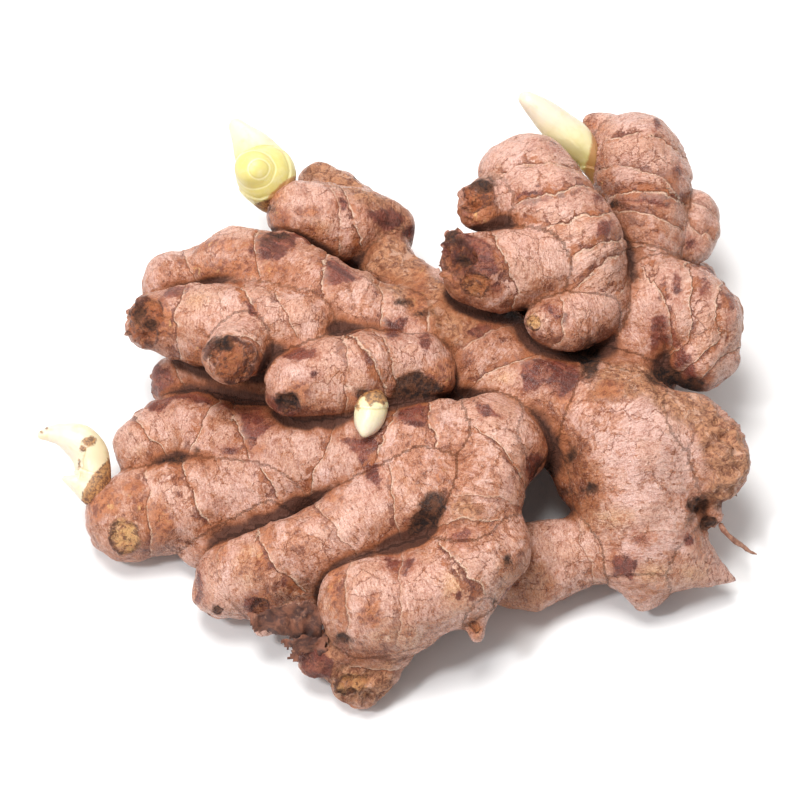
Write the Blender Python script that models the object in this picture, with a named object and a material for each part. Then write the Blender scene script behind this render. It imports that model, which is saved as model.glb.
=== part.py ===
"""Ginger root: one branching hand of fresh ginger (a rhizome) lying flat, with
four young shoots and one dry rootlet.

Frame: millimetres in the tables, metres in the mesh, +Z up.  The hand rests on
z = 0, its fingers spread towards -X, and its right-hand lobes sit at +X.  The
origin is the middle of the whole object's footprint.
"""
import bpy
import bmesh
import math
import numpy as np
from mathutils import Vector

# ------------------------------------------------------------ dimensions
MM = 0.001
TUBE_SIDES = 20            # facets round a lobe before the skin is closed
RING_STEP = 2.5            # mm between rings along a lobe
SKIN_VOXEL = 1.5           # mm, closes the overlapping lobes into one skin
SKIN_TRIANGLES = 7400
SHOOT_VOXEL = 0.55
SHOOT_TRIANGLES = 620
SMALL_SHOOT_TRIANGLES = 360
SKIN_RELAX = 9             # smoothing steps that soften the forks
SEAT_GAP = 0.35            # mm between a shoot and the skin it grows out of
ROOTLET_SIDES = 8

# Each lobe is a run of balls (x, y, z, radius): a finger, a knob or a fork of
# the rhizome.
LOBES = {
    # front left: four thick fingers that fan out of one palm
    "palm": [(22, -15.6, 31, 10.5), (20.5, -30, 31, 10.5), (17, -43.3, 29, 10), (14.5, -54.6, 26, 10)],
    "finger_1": [(25, -17.3, 28, 11.5), (10, -19.1, 27, 14), (-7.5, -16.7, 23, 13.8), (-25, -13.6, 19, 12.5),
                 (-40, -9.8, 16, 11.5), (-52.5, -5.2, 15, 10.5), (-62, -8.1, 15, 9.2)],
    "finger_2": [(-22.5, -18.2, 18.5, 10), (-40, -21.9, 14.5, 10.8), (-55, -24.2, 12.5, 11), (-67, -26, 10.2, 11.2)],
    "finger_3": [(7.5, -29.4, 29, 12.5), (-3.8, -34.6, 25, 11.5), (-17.5, -40.1, 21, 10.5), (-30, -43.9, 17, 11),
                 (-39, -45, 14, 10.2), (-41.5, -46.8, 13, 9)],
    "finger_3_knob": [(-25, -45.9, 16, 8), (-33.5, -49.7, 12, 5.2)],
    "finger_4": [(23.8, -44.2, 28, 9), (12.5, -53.1, 27, 11.5), (0, -57.2, 24, 12.5), (-7.5, -58.3, 22, 11.5)],
    "finger_4_knob": [(0, -58.3, 21, 11.2), (-5.5, -62.4, 16, 7.2)],
    "nub_under_palm": [(19.5, -55.4, 25, 4.5), (19.2, -62.4, 23, 3.2), (19.2, -65.2, 22, 2.8)],
    "cut_stem": [(-3.8, -62.6, 12.5, 8.5), (-8, -68.1, 8.0, 8.2), (-9.5, -70.1, 6.0, 7.2)],
    "cut_stem_side": [(-12.5, -62.9, 13, 7), (-18.8, -65.5, 10, 5.5), (-21, -66.4, 9, 3.8)],
    "under_finger_2": [(-32.5, -26.3, 14.5, 8.5), (-44.5, -31.2, 10.5, 7), (-48.8, -32.6, 8, 5.5)],
    "under_finger_3": [(-25, -49.1, 14, 7.5), (-30, -54.3, 12, 4), (-33, -57.2, 11, 2)],
    # between the front fan and the upper fan
    "middle_finger": [(10, 5.5, 22, 10.5), (-10, 4, 21, 9.5), (-30, 6.4, 19, 8.5), (-46.2, 8.9, 16, 7.5),
                      (-55.5, 9.8, 15, 6.5)],
    # right: the oldest body with its scar, and the low lobe in front of it
    "body": [(50, -8.4, 26, 12.5), (57, -14.4, 24, 16.5), (60, -25.7, 21, 16.5), (60, -34.9, 17, 13)],
    "body_inner": [(40, -0.6, 25, 10), (44.5, -10.4, 22, 10), (48, -20.2, 19, 9)],
    "body_scar": [(66.2, -14.1, 26, 12.5), (72.5, -11.5, 26, 9.5), (75.5, -18.5, 26, 10.5), (78, -21.9, 25, 7.5)],
    "body_corner": [(67.5, -37.5, 15, 10), (74.5, -40.4, 12, 6), (80, -42.4, 10, 3.2), (82.8, -42.7, 9, 1.5)],
    "body_point": [(60, -40.4, 14, 9.5), (60.5, -45.6, 9, 4.5), (60, -48.2, 7, 1.8)],
    "body_low_lobe": [(56.2, -33.5, 16, 11.2), (43.8, -37.2, 12, 9.2), (33.8, -39.5, 9.8, 10.8), (28, -41, 9.2, 10.2)],
    "body_nub": [(75.8, -28, 21, 3.5), (78, -30.9, 19, 2.8)],
    "behind_body": [(40, 11.5, 19, 11), (50, 16.2, 15, 10), (60, 12.7, 17, 10)],
    # the trunk that runs from the body to the far left tip
    "trunk": [(50, -8.7, 24, 11.2), (36.2, -1.7, 26, 11.5), (25, 7.5, 26, 12.5), (12.5, 17.3, 25, 14),
              (3.8, 28.3, 24, 10), (-3, 39.5, 23, 7.8), (-7.5, 50.8, 22, 7.8), (-13.8, 58.6, 21.5, 6.5),
              (-19.5, 64.1, 21, 4.8)],
    # upper left fan
    "upper_1": [(7.5, 11.3, 27, 11.2), (-3.8, 15.3, 30, 12.5), (-15, 19.9, 32, 11.5), (-26.2, 27.1, 31, 11.8),
                (-38, 34.6, 28, 10.5), (-47.5, 34.6, 25, 8), (-56.2, 32.6, 23, 8.2)],
    "upper_2": [(-25, 12.4, 35, 11.2), (-37.5, 15, 34, 10.8), (-48.8, 16.2, 32, 10.5), (-58.8, 18.5, 30, 7.8)],
    "upper_3": [(-34.5, 13.9, 35, 8.5), (-38.8, 5.8, 39, 8), (-40.5, 0.6, 43, 6.8)],
    "upper_4": [(3.8, 2, 33, 9.5), (-5, 0.6, 36, 10), (-15, -1.7, 38, 10.2), (-23, -3.5, 38, 9), (-25, -4, 38, 8)],
    "tip_knob": [(-3.8, 48.8, 22, 7.5), (-12.5, 48.5, 26, 10.5), (-20.5, 49.1, 29, 9.5), (-23.8, 49.4, 30, 8.8)],
    # upper right fan
    "right_1": [(49.2, 19.3, 36.5, 8.5), (43.8, 28.6, 40.5, 12.5), (38.8, 38.4, 43.5, 13.2), (34.5, 47.3, 44.5, 12.8),
                (31.5, 50.5, 44.5, 10.8)],
    "right_1_stub": [(28.8, 43.3, 46.5, 7.5), (22.5, 40.7, 48.5, 6.8), (20, 39.8, 49.5, 6)],
    "right_1_dark_stub": [(35, 26.3, 44.5, 10.5), (25, 23.4, 46.5, 10), (20, 23.7, 46.5, 9.2)],
    "right_1_corner": [(18.8, 26.3, 47.5, 5), (14, 30.9, 47.5, 2.5), (12.5, 32.6, 47.5, 1.5)],
    "right_1_nodule": [(47.5, 16.2, 38.5, 7.5), (40.5, 12.1, 40.5, 7.2), (36.2, 11.5, 41.5, 5), (33.2, 12.1, 41.5, 2.2)],
    "right_2": [(61.2, 42.7, 30, 10), (61.2, 53.1, 32, 11.2), (60, 62.1, 33, 13), (57, 65.5, 33, 10.5)],
    "right_2_nub": [(51.2, 71, 35, 5.2), (48.8, 72.7, 36, 2.8)],
    "right_3": [(65, 40.7, 26, 7), (73, 45, 26, 6.5), (74.2, 52, 26, 6.2)],
    "right_4": [(60, 16.5, 28, 11), (66.2, 21.1, 30, 13), (72, 19.1, 31, 12.5), (75, 14.7, 31, 10), (75, 9.8, 29, 9.5)],
    "right_neck": [(60, 35.2, 28, 9.5), (58, 19.1, 26, 10), (56.8, 8.7, 24, 9.5), (55, -2.3, 23, 12)],
    # underside: a low ridge under the two upper fans, and the knobs the hand
    # stands on at the back
    "under_ridge": [(-38, 32, 14, 9), (-15, 27, 14, 11), (10, 24, 14, 12), (35, 26, 15, 12), (62, 26, 16, 11)],
    "under_trunk": [(10, 23.1, 19, 10.5), (0.5, 34.4, 13, 11), (-4, 37.2, 9.1, 10.5)],
    "under_right": [(63.8, 22.8, 22, 11), (69.5, 34.2, 13, 11), (71, 38.3, 9.0, 10.2)],
    "under_upper": [(-32.5, 34.9, 21, 9.5), (-40.5, 39.5, 8.9, 10)],
    "under_middle": [(40, 30, 22, 10), (35, 42.5, 12, 10.5), (34, 45.5, 8.8, 10)],
}

# Young shoots: pale cones that grow out of the lobe ends.
SHOOTS = {
    "shoot_upper_left": [[(-28.8, 61.2, 23, 6), (-33, 65.8, 26, 5.5), (-37, 69.9, 30, 4), (-40, 72.2, 33, 2.5),
                          (-41.5, 73.3, 34, 1.8)],
                         [(-28.5, 56, 29, 6), (-33.2, 60, 33, 8)]],
    "shoot_upper_right": [[(50.8, 56.3, 33, 2), (49.2, 60.6, 35, 3), (43.8, 65, 39, 4.8), (37.5, 68.4, 43, 4.2),
                           (33, 71.6, 46, 2.2), (31.2, 73, 47, 1)]],
    "shoot_left": [[(-76, -23.4, 13.5, 5), (-76.5, -18.2, 15.5, 5.5), (-77.5, -13, 17.5, 6), (-80.5, -9.5, 19.5, 4.5),
                    (-85, -8.7, 20.5, 2.8), (-88.5, -8.9, 21.5, 1.2)]],
    "shoot_small": [[(-5.5, -3.8, 38, 4.5), (-6.5, -9.2, 39, 3), (-6.5, -11.5, 40, 3.2), (-7, -15, 41, 3.5),
                     (-8.5, -19.1, 42, 1.5)]],
}

# Dry thread of root that hangs from the small nub of the body.
ROOTLET = [(79.4, -32.2, 17.6, 0.75), (81.0, -34.4, 16.4, 0.7), (83.6, -35.4, 14.0, 0.65), (86.2, -36.2, 11.8, 0.55),
           (88.4, -36.6, 10.4, 0.45)]

# colours: linear RGB, roughness
SKIN = ((0.55, 0.33, 0.22, 1.0), 0.55)
SHOOT = ((0.83, 0.78, 0.52, 1.0), 0.35)
ROOT = ((0.32, 0.16, 0.09, 1.0), 0.7)


# ------------------------------------------------------------ tools
def clear_scene():
    for ob in list(bpy.data.objects):
        bpy.data.objects.remove(ob, do_unlink=True)


def material(name, spec):
    colour, rough = spec
    mat = bpy.data.materials.get(name) or bpy.data.materials.new(name)
    mat.use_nodes = True
    bsdf = mat.node_tree.nodes["Principled BSDF"]
    bsdf.inputs["Base Color"].default_value = colour
    bsdf.inputs["Roughness"].default_value = rough
    bsdf.inputs["Metallic"].default_value = 0.0
    return mat


def spine(points, step):
    """Even run of (x, y, z, r) along a smooth curve through the given balls."""
    p = [np.array(q, dtype=float) for q in points]
    if len(p) == 2:
        n = max(2, int(np.linalg.norm(p[1][:3] - p[0][:3]) / step) + 1)
        return [p[0] * (1 - i / n) + p[1] * (i / n) for i in range(n + 1)]
    p = [2 * p[0] - p[1]] + p + [2 * p[-1] - p[-2]]
    run = []
    for i in range(1, len(p) - 2):
        a, b, c, d = p[i - 1:i + 3]
        n = max(2, int(np.linalg.norm(c[:3] - b[:3]) / step) + 1)
        for j in range(n):
            t = j / n
            run.append(0.5 * (2 * b + (c - a) * t + (2 * a - 5 * b + 4 * c - d) * t * t
                              + (3 * b - a - 3 * c + d) * t ** 3))
    run.append(p[-2])
    for q in run:
        q[3] = max(q[3], 0.2)
    return run


def tube(bm, points, sides, step, caps=4):
    """Closed round tube with ball ends, swept along a spine (mm in, m out)."""
    run = spine(points, step)
    axis = [None] * len(run)
    for i in range(len(run)):
        a = run[max(i - 1, 0)][:3]
        b = run[min(i + 1, len(run) - 1)][:3]
        axis[i] = Vector(b - a).normalized()
    side = axis[0].orthogonal().normalized()
    rings = []

    def ring(centre, radius, u, v):
        verts = []
        for k in range(sides):
            w = 2 * math.pi * k / sides
            q = centre + (u * math.cos(w) + v * math.sin(w)) * radius
            verts.append(bm.verts.new(q * MM))
        return verts

    for i, q in enumerate(run):
        side = (side - axis[i] * side.dot(axis[i])).normalized()
        u, v = side, axis[i].cross(side)
        centre, r = Vector(q[:3]), float(q[3])
        if i == 0:
            tail = bm.verts.new((centre - axis[i] * r) * MM)
            for k in range(caps, 0, -1):
                w = 0.5 * math.pi * k / (caps + 1)
                rings.append(ring(centre - axis[i] * r * math.sin(w), r * math.cos(w), u, v))
        rings.append(ring(centre, r, u, v))
        if i == len(run) - 1:
            for k in range(1, caps + 1):
                w = 0.5 * math.pi * k / (caps + 1)
                rings.append(ring(centre + axis[i] * r * math.sin(w), r * math.cos(w), u, v))
            head = bm.verts.new((centre + axis[i] * r) * MM)
    for a, b in zip(rings[:-1], rings[1:]):
        for k in range(sides):
            m = (k + 1) % sides
            bm.faces.new((a[k], a[m], b[m], b[k]))
    for k in range(sides):
        m = (k + 1) % sides
        bm.faces.new((tail, rings[0][m], rings[0][k]))
        bm.faces.new((head, rings[-1][k], rings[-1][m]))


def tubes_object(name, runs, sides, step):
    bm = bmesh.new()
    for points in runs:
        tube(bm, points, sides, step)
    bmesh.ops.recalc_face_normals(bm, faces=bm.faces)
    mesh = bpy.data.meshes.new(name)
    bm.to_mesh(mesh)
    bm.free()
    ob = bpy.data.objects.new(name, mesh)
    bpy.context.collection.objects.link(ob)
    return ob


def settle(ob):
    """Replace an object's mesh by what its modifiers make of it."""
    bpy.context.view_layer.update()
    deps = bpy.context.evaluated_depsgraph_get()
    made = bpy.data.meshes.new_from_object(ob.evaluated_get(deps), depsgraph=deps)
    ob.modifiers.clear()
    old = ob.data
    ob.data = made
    bpy.data.meshes.remove(old)
    made.name = ob.name


def skin(ob, voxel, relax):
    """Close overlapping lobes into one soft skin."""
    m = ob.modifiers.new("close", "REMESH")
    m.mode = "VOXEL"
    m.voxel_size = voxel * MM
    m.use_smooth_shade = True
    m = ob.modifiers.new("relax", "SMOOTH")
    m.factor = 0.5
    m.iterations = relax
    settle(ob)


def keep_largest(ob):
    """Only the outer body stays; specks and inner shells go."""
    bm = bmesh.new()
    bm.from_mesh(ob.data)
    left = set(bm.faces)
    bodies = []
    while left:
        seed = left.pop()
        body, edge = [seed], [seed]
        while edge:
            f = edge.pop()
            for e in f.edges:
                for g in e.link_faces:
                    if g in left:
                        left.remove(g)
                        body.append(g)
                        edge.append(g)
        bodies.append(body)
    bodies.sort(key=len)
    drop = [f for body in bodies[:-1] for f in body]
    if drop:
        bmesh.ops.delete(bm, geom=drop, context="FACES")
    loose = [v for v in bm.verts if not v.link_faces]
    bmesh.ops.delete(bm, geom=loose, context="VERTS")
    bm.to_mesh(ob.data)
    bm.free()
    return len(bodies)


def reduce_to(ob, triangles):
    count = sum(len(p.vertices) - 2 for p in ob.data.polygons)
    m = ob.modifiers.new("reduce", "DECIMATE")
    m.decimate_type = "COLLAPSE"
    m.ratio = min(1.0, triangles / count)
    m.use_collapse_triangulate = True
    settle(ob)


def press_flat(ob):
    """Whatever would dip below the table is pressed flat onto z = 0."""
    for v in ob.data.vertices:
        if v.co.z < 0.0:
            v.co.z = 0.0
    ob.data.update()


def cut_away(ob, tool_mesh, grow):
    """Cut a grown copy of the skin out of a shoot, so that its foot seats on it."""
    cutter = bpy.data.objects.new("cutter", tool_mesh.copy())
    bpy.context.collection.objects.link(cutter)
    swell = cutter.modifiers.new("swell", "DISPLACE")
    swell.strength = grow * MM
    swell.mid_level = 0.0
    settle(cutter)
    m = ob.modifiers.new("seat", "BOOLEAN")
    m.operation = "DIFFERENCE"
    m.solver = "EXACT"
    m.object = cutter
    settle(ob)
    bpy.data.objects.remove(cutter, do_unlink=True)


def finish(ob, mat):
    ob.data.materials.clear()
    ob.data.materials.append(mat)
    ob.data.shade_smooth()
    ob.data.set_sharp_from_angle(angle=math.radians(50))


def build():
    clear_scene()
    skin_mat = material("ginger_skin", SKIN)
    shoot_mat = material("shoot_flesh", SHOOT)
    root_mat = material("dry_root", ROOT)

    rhizome = tubes_object("rhizome", list(LOBES.values()), TUBE_SIDES, RING_STEP)
    skin(rhizome, SKIN_VOXEL, SKIN_RELAX)
    keep_largest(rhizome)
    reduce_to(rhizome, SKIN_TRIANGLES)
    press_flat(rhizome)

    parts = [rhizome]
    for name, runs in SHOOTS.items():
        ob = tubes_object(name, runs, 24, 1.0)
        skin(ob, SHOOT_VOXEL, 4)
        reduce_to(ob, SMALL_SHOOT_TRIANGLES if name == "shoot_small" else SHOOT_TRIANGLES)
        cut_away(ob, rhizome.data, SEAT_GAP)
        keep_largest(ob)
        parts.append(ob)

    rootlet = tubes_object("rootlet", [ROOTLET], ROOTLET_SIDES, 1.2)
    cut_away(rootlet, rhizome.data, SEAT_GAP)
    keep_largest(rootlet)
    parts.append(rootlet)

    # the origin goes to the middle of the footprint, on the table
    low = np.min([np.min([v.co[:] for v in ob.data.vertices], axis=0) for ob in parts], axis=0)
    high = np.max([np.max([v.co[:] for v in ob.data.vertices], axis=0) for ob in parts], axis=0)
    shift = Vector((-(low[0] + high[0]) / 2, -(low[1] + high[1]) / 2, -low[2]))
    holder = bpy.data.objects.new("ginger_root", None)
    bpy.context.collection.objects.link(holder)
    for ob in parts:
        for v in ob.data.vertices:
            v.co += shift
        ob.data.update()
        finish(ob, skin_mat if ob is rhizome else root_mat if ob is rootlet else shoot_mat)
        ob.parent = holder
    print("shift mm", [round(s / MM, 3) for s in shift])
    for ob in parts:
        print(ob.name, len(ob.data.polygons), "faces")


build()
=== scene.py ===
"""Looks of the ginger root: skin, node rings, scars, soil, shoots, husk and rootlet."""
import math
import bpy
import numpy as np
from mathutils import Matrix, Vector


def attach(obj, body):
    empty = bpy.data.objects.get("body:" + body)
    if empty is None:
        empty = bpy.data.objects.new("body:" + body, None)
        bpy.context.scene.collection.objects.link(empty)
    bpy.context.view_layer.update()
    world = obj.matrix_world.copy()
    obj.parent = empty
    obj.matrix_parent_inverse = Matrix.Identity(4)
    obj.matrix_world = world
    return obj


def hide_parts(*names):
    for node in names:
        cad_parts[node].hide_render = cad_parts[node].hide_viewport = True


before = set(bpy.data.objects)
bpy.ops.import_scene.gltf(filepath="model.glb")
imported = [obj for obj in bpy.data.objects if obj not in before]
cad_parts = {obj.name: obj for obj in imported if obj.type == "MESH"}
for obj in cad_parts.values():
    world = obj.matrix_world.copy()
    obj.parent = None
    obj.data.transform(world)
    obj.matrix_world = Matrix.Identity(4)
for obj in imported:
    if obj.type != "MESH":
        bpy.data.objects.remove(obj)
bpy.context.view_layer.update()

MM = 0.001
STEP = 0.78          # mm, spacing of the skin's mesh
SHIFT = np.array([0.397, 0.592, 0.0])   # table frame to part frame, mm
TILT = math.radians(60.0)               # how steeply the hand is looked down on
MID_Z = 24.0                            # height in the middle of the view, mm
FAR = 1700.0                            # mm from the camera to the middle

# Each lobe is a run of balls (x, y, z, radius): a finger, a knob or a fork of
# the rhizome.
LOBES = {
    # front left: four thick fingers that fan out of one palm
    "palm": [(22, -15.6, 31, 10.5), (20.5, -30, 31, 10.5), (17, -43.3, 29, 10), (14.5, -54.6, 26, 10)],
    "finger_1": [(25, -17.3, 28, 11.5), (10, -19.1, 27, 14), (-7.5, -16.7, 23, 13.8), (-25, -13.6, 19, 12.5),
                 (-40, -9.8, 16, 11.5), (-52.5, -5.2, 15, 10.5), (-62, -8.1, 15, 9.2)],
    "finger_2": [(-22.5, -18.2, 18.5, 10), (-40, -21.9, 14.5, 10.8), (-55, -24.2, 12.5, 11), (-67, -26, 10.2, 11.2)],
    "finger_3": [(7.5, -29.4, 29, 12.5), (-3.8, -34.6, 25, 11.5), (-17.5, -40.1, 21, 10.5), (-30, -43.9, 17, 11),
                 (-39, -45, 14, 10.2), (-41.5, -46.8, 13, 9)],
    "finger_3_knob": [(-25, -45.9, 16, 8), (-33.5, -49.7, 12, 5.2)],
    "finger_4": [(23.8, -44.2, 28, 9), (12.5, -53.1, 27, 11.5), (0, -57.2, 24, 12.5), (-7.5, -58.3, 22, 11.5)],
    "finger_4_knob": [(0, -58.3, 21, 11.2), (-5.5, -62.4, 16, 7.2)],
    "nub_under_palm": [(19.5, -55.4, 25, 4.5), (19.2, -62.4, 23, 3.2), (19.2, -65.2, 22, 2.8)],
    "cut_stem": [(-3.8, -62.6, 12.5, 8.5), (-8, -68.1, 8.0, 8.2), (-9.5, -70.1, 6.0, 7.2)],
    "cut_stem_side": [(-12.5, -62.9, 13, 7), (-18.8, -65.5, 10, 5.5), (-21, -66.4, 9, 3.8)],
    "under_finger_2": [(-32.5, -26.3, 14.5, 8.5), (-44.5, -31.2, 10.5, 7), (-48.8, -32.6, 8, 5.5)],
    "under_finger_3": [(-25, -49.1, 14, 7.5), (-30, -54.3, 12, 4), (-33, -57.2, 11, 2)],
    # between the front fan and the upper fan
    "middle_finger": [(10, 5.5, 22, 10.5), (-10, 4, 21, 9.5), (-30, 6.4, 19, 8.5), (-46.2, 8.9, 16, 7.5),
                      (-55.5, 9.8, 15, 6.5)],
    # right: the oldest body with its scar, and the low lobe in front of it
    "body": [(50, -8.4, 26, 12.5), (57, -14.4, 24, 16.5), (60, -25.7, 21, 16.5), (60, -34.9, 17, 13)],
    "body_inner": [(40, -0.6, 25, 10), (44.5, -10.4, 22, 10), (48, -20.2, 19, 9)],
    "body_scar": [(66.2, -14.1, 26, 12.5), (72.5, -11.5, 26, 9.5), (75.5, -18.5, 26, 10.5), (78, -21.9, 25, 7.5)],
    "body_corner": [(67.5, -37.5, 15, 10), (74.5, -40.4, 12, 6), (80, -42.4, 10, 3.2), (82.8, -42.7, 9, 1.5)],
    "body_point": [(60, -40.4, 14, 9.5), (60.5, -45.6, 9, 4.5), (60, -48.2, 7, 1.8)],
    "body_low_lobe": [(56.2, -33.5, 16, 11.2), (43.8, -37.2, 12, 9.2), (33.8, -39.5, 9.8, 10.8), (28, -41, 9.2, 10.2)],
    "body_nub": [(75.8, -28, 21, 3.5), (78, -30.9, 19, 2.8)],
    "behind_body": [(40, 11.5, 19, 11), (50, 16.2, 15, 10), (60, 12.7, 17, 10)],
    # the trunk that runs from the body to the far left tip
    "trunk": [(50, -8.7, 24, 11.2), (36.2, -1.7, 26, 11.5), (25, 7.5, 26, 12.5), (12.5, 17.3, 25, 14),
              (3.8, 28.3, 24, 10), (-3, 39.5, 23, 7.8), (-7.5, 50.8, 22, 7.8), (-13.8, 58.6, 21.5, 6.5),
              (-19.5, 64.1, 21, 4.8)],
    # upper left fan
    "upper_1": [(7.5, 11.3, 27, 11.2), (-3.8, 15.3, 30, 12.5), (-15, 19.9, 32, 11.5), (-26.2, 27.1, 31, 11.8),
                (-38, 34.6, 28, 10.5), (-47.5, 34.6, 25, 8), (-56.2, 32.6, 23, 8.2)],
    "upper_2": [(-25, 12.4, 35, 11.2), (-37.5, 15, 34, 10.8), (-48.8, 16.2, 32, 10.5), (-58.8, 18.5, 30, 7.8)],
    "upper_3": [(-34.5, 13.9, 35, 8.5), (-38.8, 5.8, 39, 8), (-40.5, 0.6, 43, 6.8)],
    "upper_4": [(3.8, 2, 33, 9.5), (-5, 0.6, 36, 10), (-15, -1.7, 38, 10.2), (-23, -3.5, 38, 9), (-25, -4, 38, 8)],
    "tip_knob": [(-3.8, 48.8, 22, 7.5), (-12.5, 48.5, 26, 10.5), (-20.5, 49.1, 29, 9.5), (-23.8, 49.4, 30, 8.8)],
    # upper right fan
    "right_1": [(49.2, 19.3, 36.5, 8.5), (43.8, 28.6, 40.5, 12.5), (38.8, 38.4, 43.5, 13.2), (34.5, 47.3, 44.5, 12.8),
                (31.5, 50.5, 44.5, 10.8)],
    "right_1_stub": [(28.8, 43.3, 46.5, 7.5), (22.5, 40.7, 48.5, 6.8), (20, 39.8, 49.5, 6)],
    "right_1_dark_stub": [(35, 26.3, 44.5, 10.5), (25, 23.4, 46.5, 10), (20, 23.7, 46.5, 9.2)],
    "right_1_corner": [(18.8, 26.3, 47.5, 5), (14, 30.9, 47.5, 2.5), (12.5, 32.6, 47.5, 1.5)],
    "right_1_nodule": [(47.5, 16.2, 38.5, 7.5), (40.5, 12.1, 40.5, 7.2), (36.2, 11.5, 41.5, 5), (33.2, 12.1, 41.5, 2.2)],
    "right_2": [(61.2, 42.7, 30, 10), (61.2, 53.1, 32, 11.2), (60, 62.1, 33, 13), (57, 65.5, 33, 10.5)],
    "right_2_nub": [(51.2, 71, 35, 5.2), (48.8, 72.7, 36, 2.8)],
    "right_3": [(65, 40.7, 26, 7), (73, 45, 26, 6.5), (74.2, 52, 26, 6.2)],
    "right_4": [(60, 16.5, 28, 11), (66.2, 21.1, 30, 13), (72, 19.1, 31, 12.5), (75, 14.7, 31, 10), (75, 9.8, 29, 9.5)],
    "right_neck": [(60, 35.2, 28, 9.5), (58, 19.1, 26, 10), (56.8, 8.7, 24, 9.5), (55, -2.3, 23, 12)],
    # underside: a low ridge under the two upper fans, and the knobs the hand
    # stands on at the back
    "under_ridge": [(-38, 32, 14, 9), (-15, 27, 14, 11), (10, 24, 14, 12), (35, 26, 15, 12), (62, 26, 16, 11)],
    "under_trunk": [(10, 23.1, 19, 10.5), (0.5, 34.4, 13, 11), (-4, 37.2, 9.1, 10.5)],
    "under_right": [(63.8, 22.8, 22, 11), (69.5, 34.2, 13, 11), (71, 38.3, 9.0, 10.2)],
    "under_upper": [(-32.5, 34.9, 21, 9.5), (-40.5, 39.5, 8.9, 10)],
    "under_middle": [(40, 30, 22, 10), (35, 42.5, 12, 10.5), (34, 45.5, 8.8, 10)],
}

# Young shoots: pale cones that grow out of the lobe ends.
SHOOTS = {
    "shoot_upper_left": [[(-28.8, 61.2, 23, 6), (-33, 65.8, 26, 5.5), (-37, 69.9, 30, 4), (-40, 72.2, 33, 2.5),
                          (-41.5, 73.3, 34, 1.8)],
                         [(-28.5, 56, 29, 6), (-33.2, 60, 33, 8)]],
    "shoot_upper_right": [[(50.8, 56.3, 33, 2), (49.2, 60.6, 35, 3), (43.8, 65, 39, 4.8), (37.5, 68.4, 43, 4.2),
                           (33, 71.6, 46, 2.2), (31.2, 73, 47, 1)]],
    "shoot_left": [[(-76, -23.4, 13.5, 5), (-76.5, -18.2, 15.5, 5.5), (-77.5, -13, 17.5, 6), (-80.5, -9.5, 19.5, 4.5),
                    (-85, -8.7, 20.5, 2.8), (-88.5, -8.9, 21.5, 1.2)]],
    "shoot_small": [[(-5.5, -3.8, 38, 4.5), (-6.5, -9.2, 39, 3), (-6.5, -11.5, 40, 3.2), (-7, -15, 41, 3.5),
                     (-8.5, -19.1, 42, 1.5)]],
}

# Dry thread of root that hangs from the small nub of the body.
ROOTLET = [(79.4, -32.2, 17.6, 0.75), (81.0, -34.4, 16.4, 0.7), (83.6, -35.4, 14.0, 0.65), (86.2, -36.2, 11.8, 0.55),
           (88.4, -36.6, 10.4, 0.45)]


# How softly each lobe melts into the ones before it, mm.
BLEND = {"finger_1": 2.5, "finger_2": 2.5, "finger_3": 2.5, "finger_4": 2.5, "upper_1": 2.5, "upper_2": 2.5,
         "right_1": 2.5, "right_2": 2.5, "right_4": 2.5, "palm": 4.0, "body": 4.0, "body_inner": 4.0,
         "body_scar": 3.6, "trunk": 4.0, "right_neck": 4.0, "behind_body": 4.0, "upper_3": 1.5, "upper_4": 1.5,
         "tip_knob": 1.5, "right_1_stub": 1.4, "right_1_dark_stub": 1.5, "right_1_nodule": 1.5,
         "right_1_corner": 1.5, "right_2_nub": 1.5, "finger_3_knob": 2.0, "finger_4_knob": 2.0,
         "nub_under_palm": 2.0, "body_nub": 1.2}
# ---------------------------------------------------------------- drawn marks
# Marks are drawn on the hand as it is looked down on, in quarter millimetres
# of the plan: x to the right, y down, (400, 400) in the middle.

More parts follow.
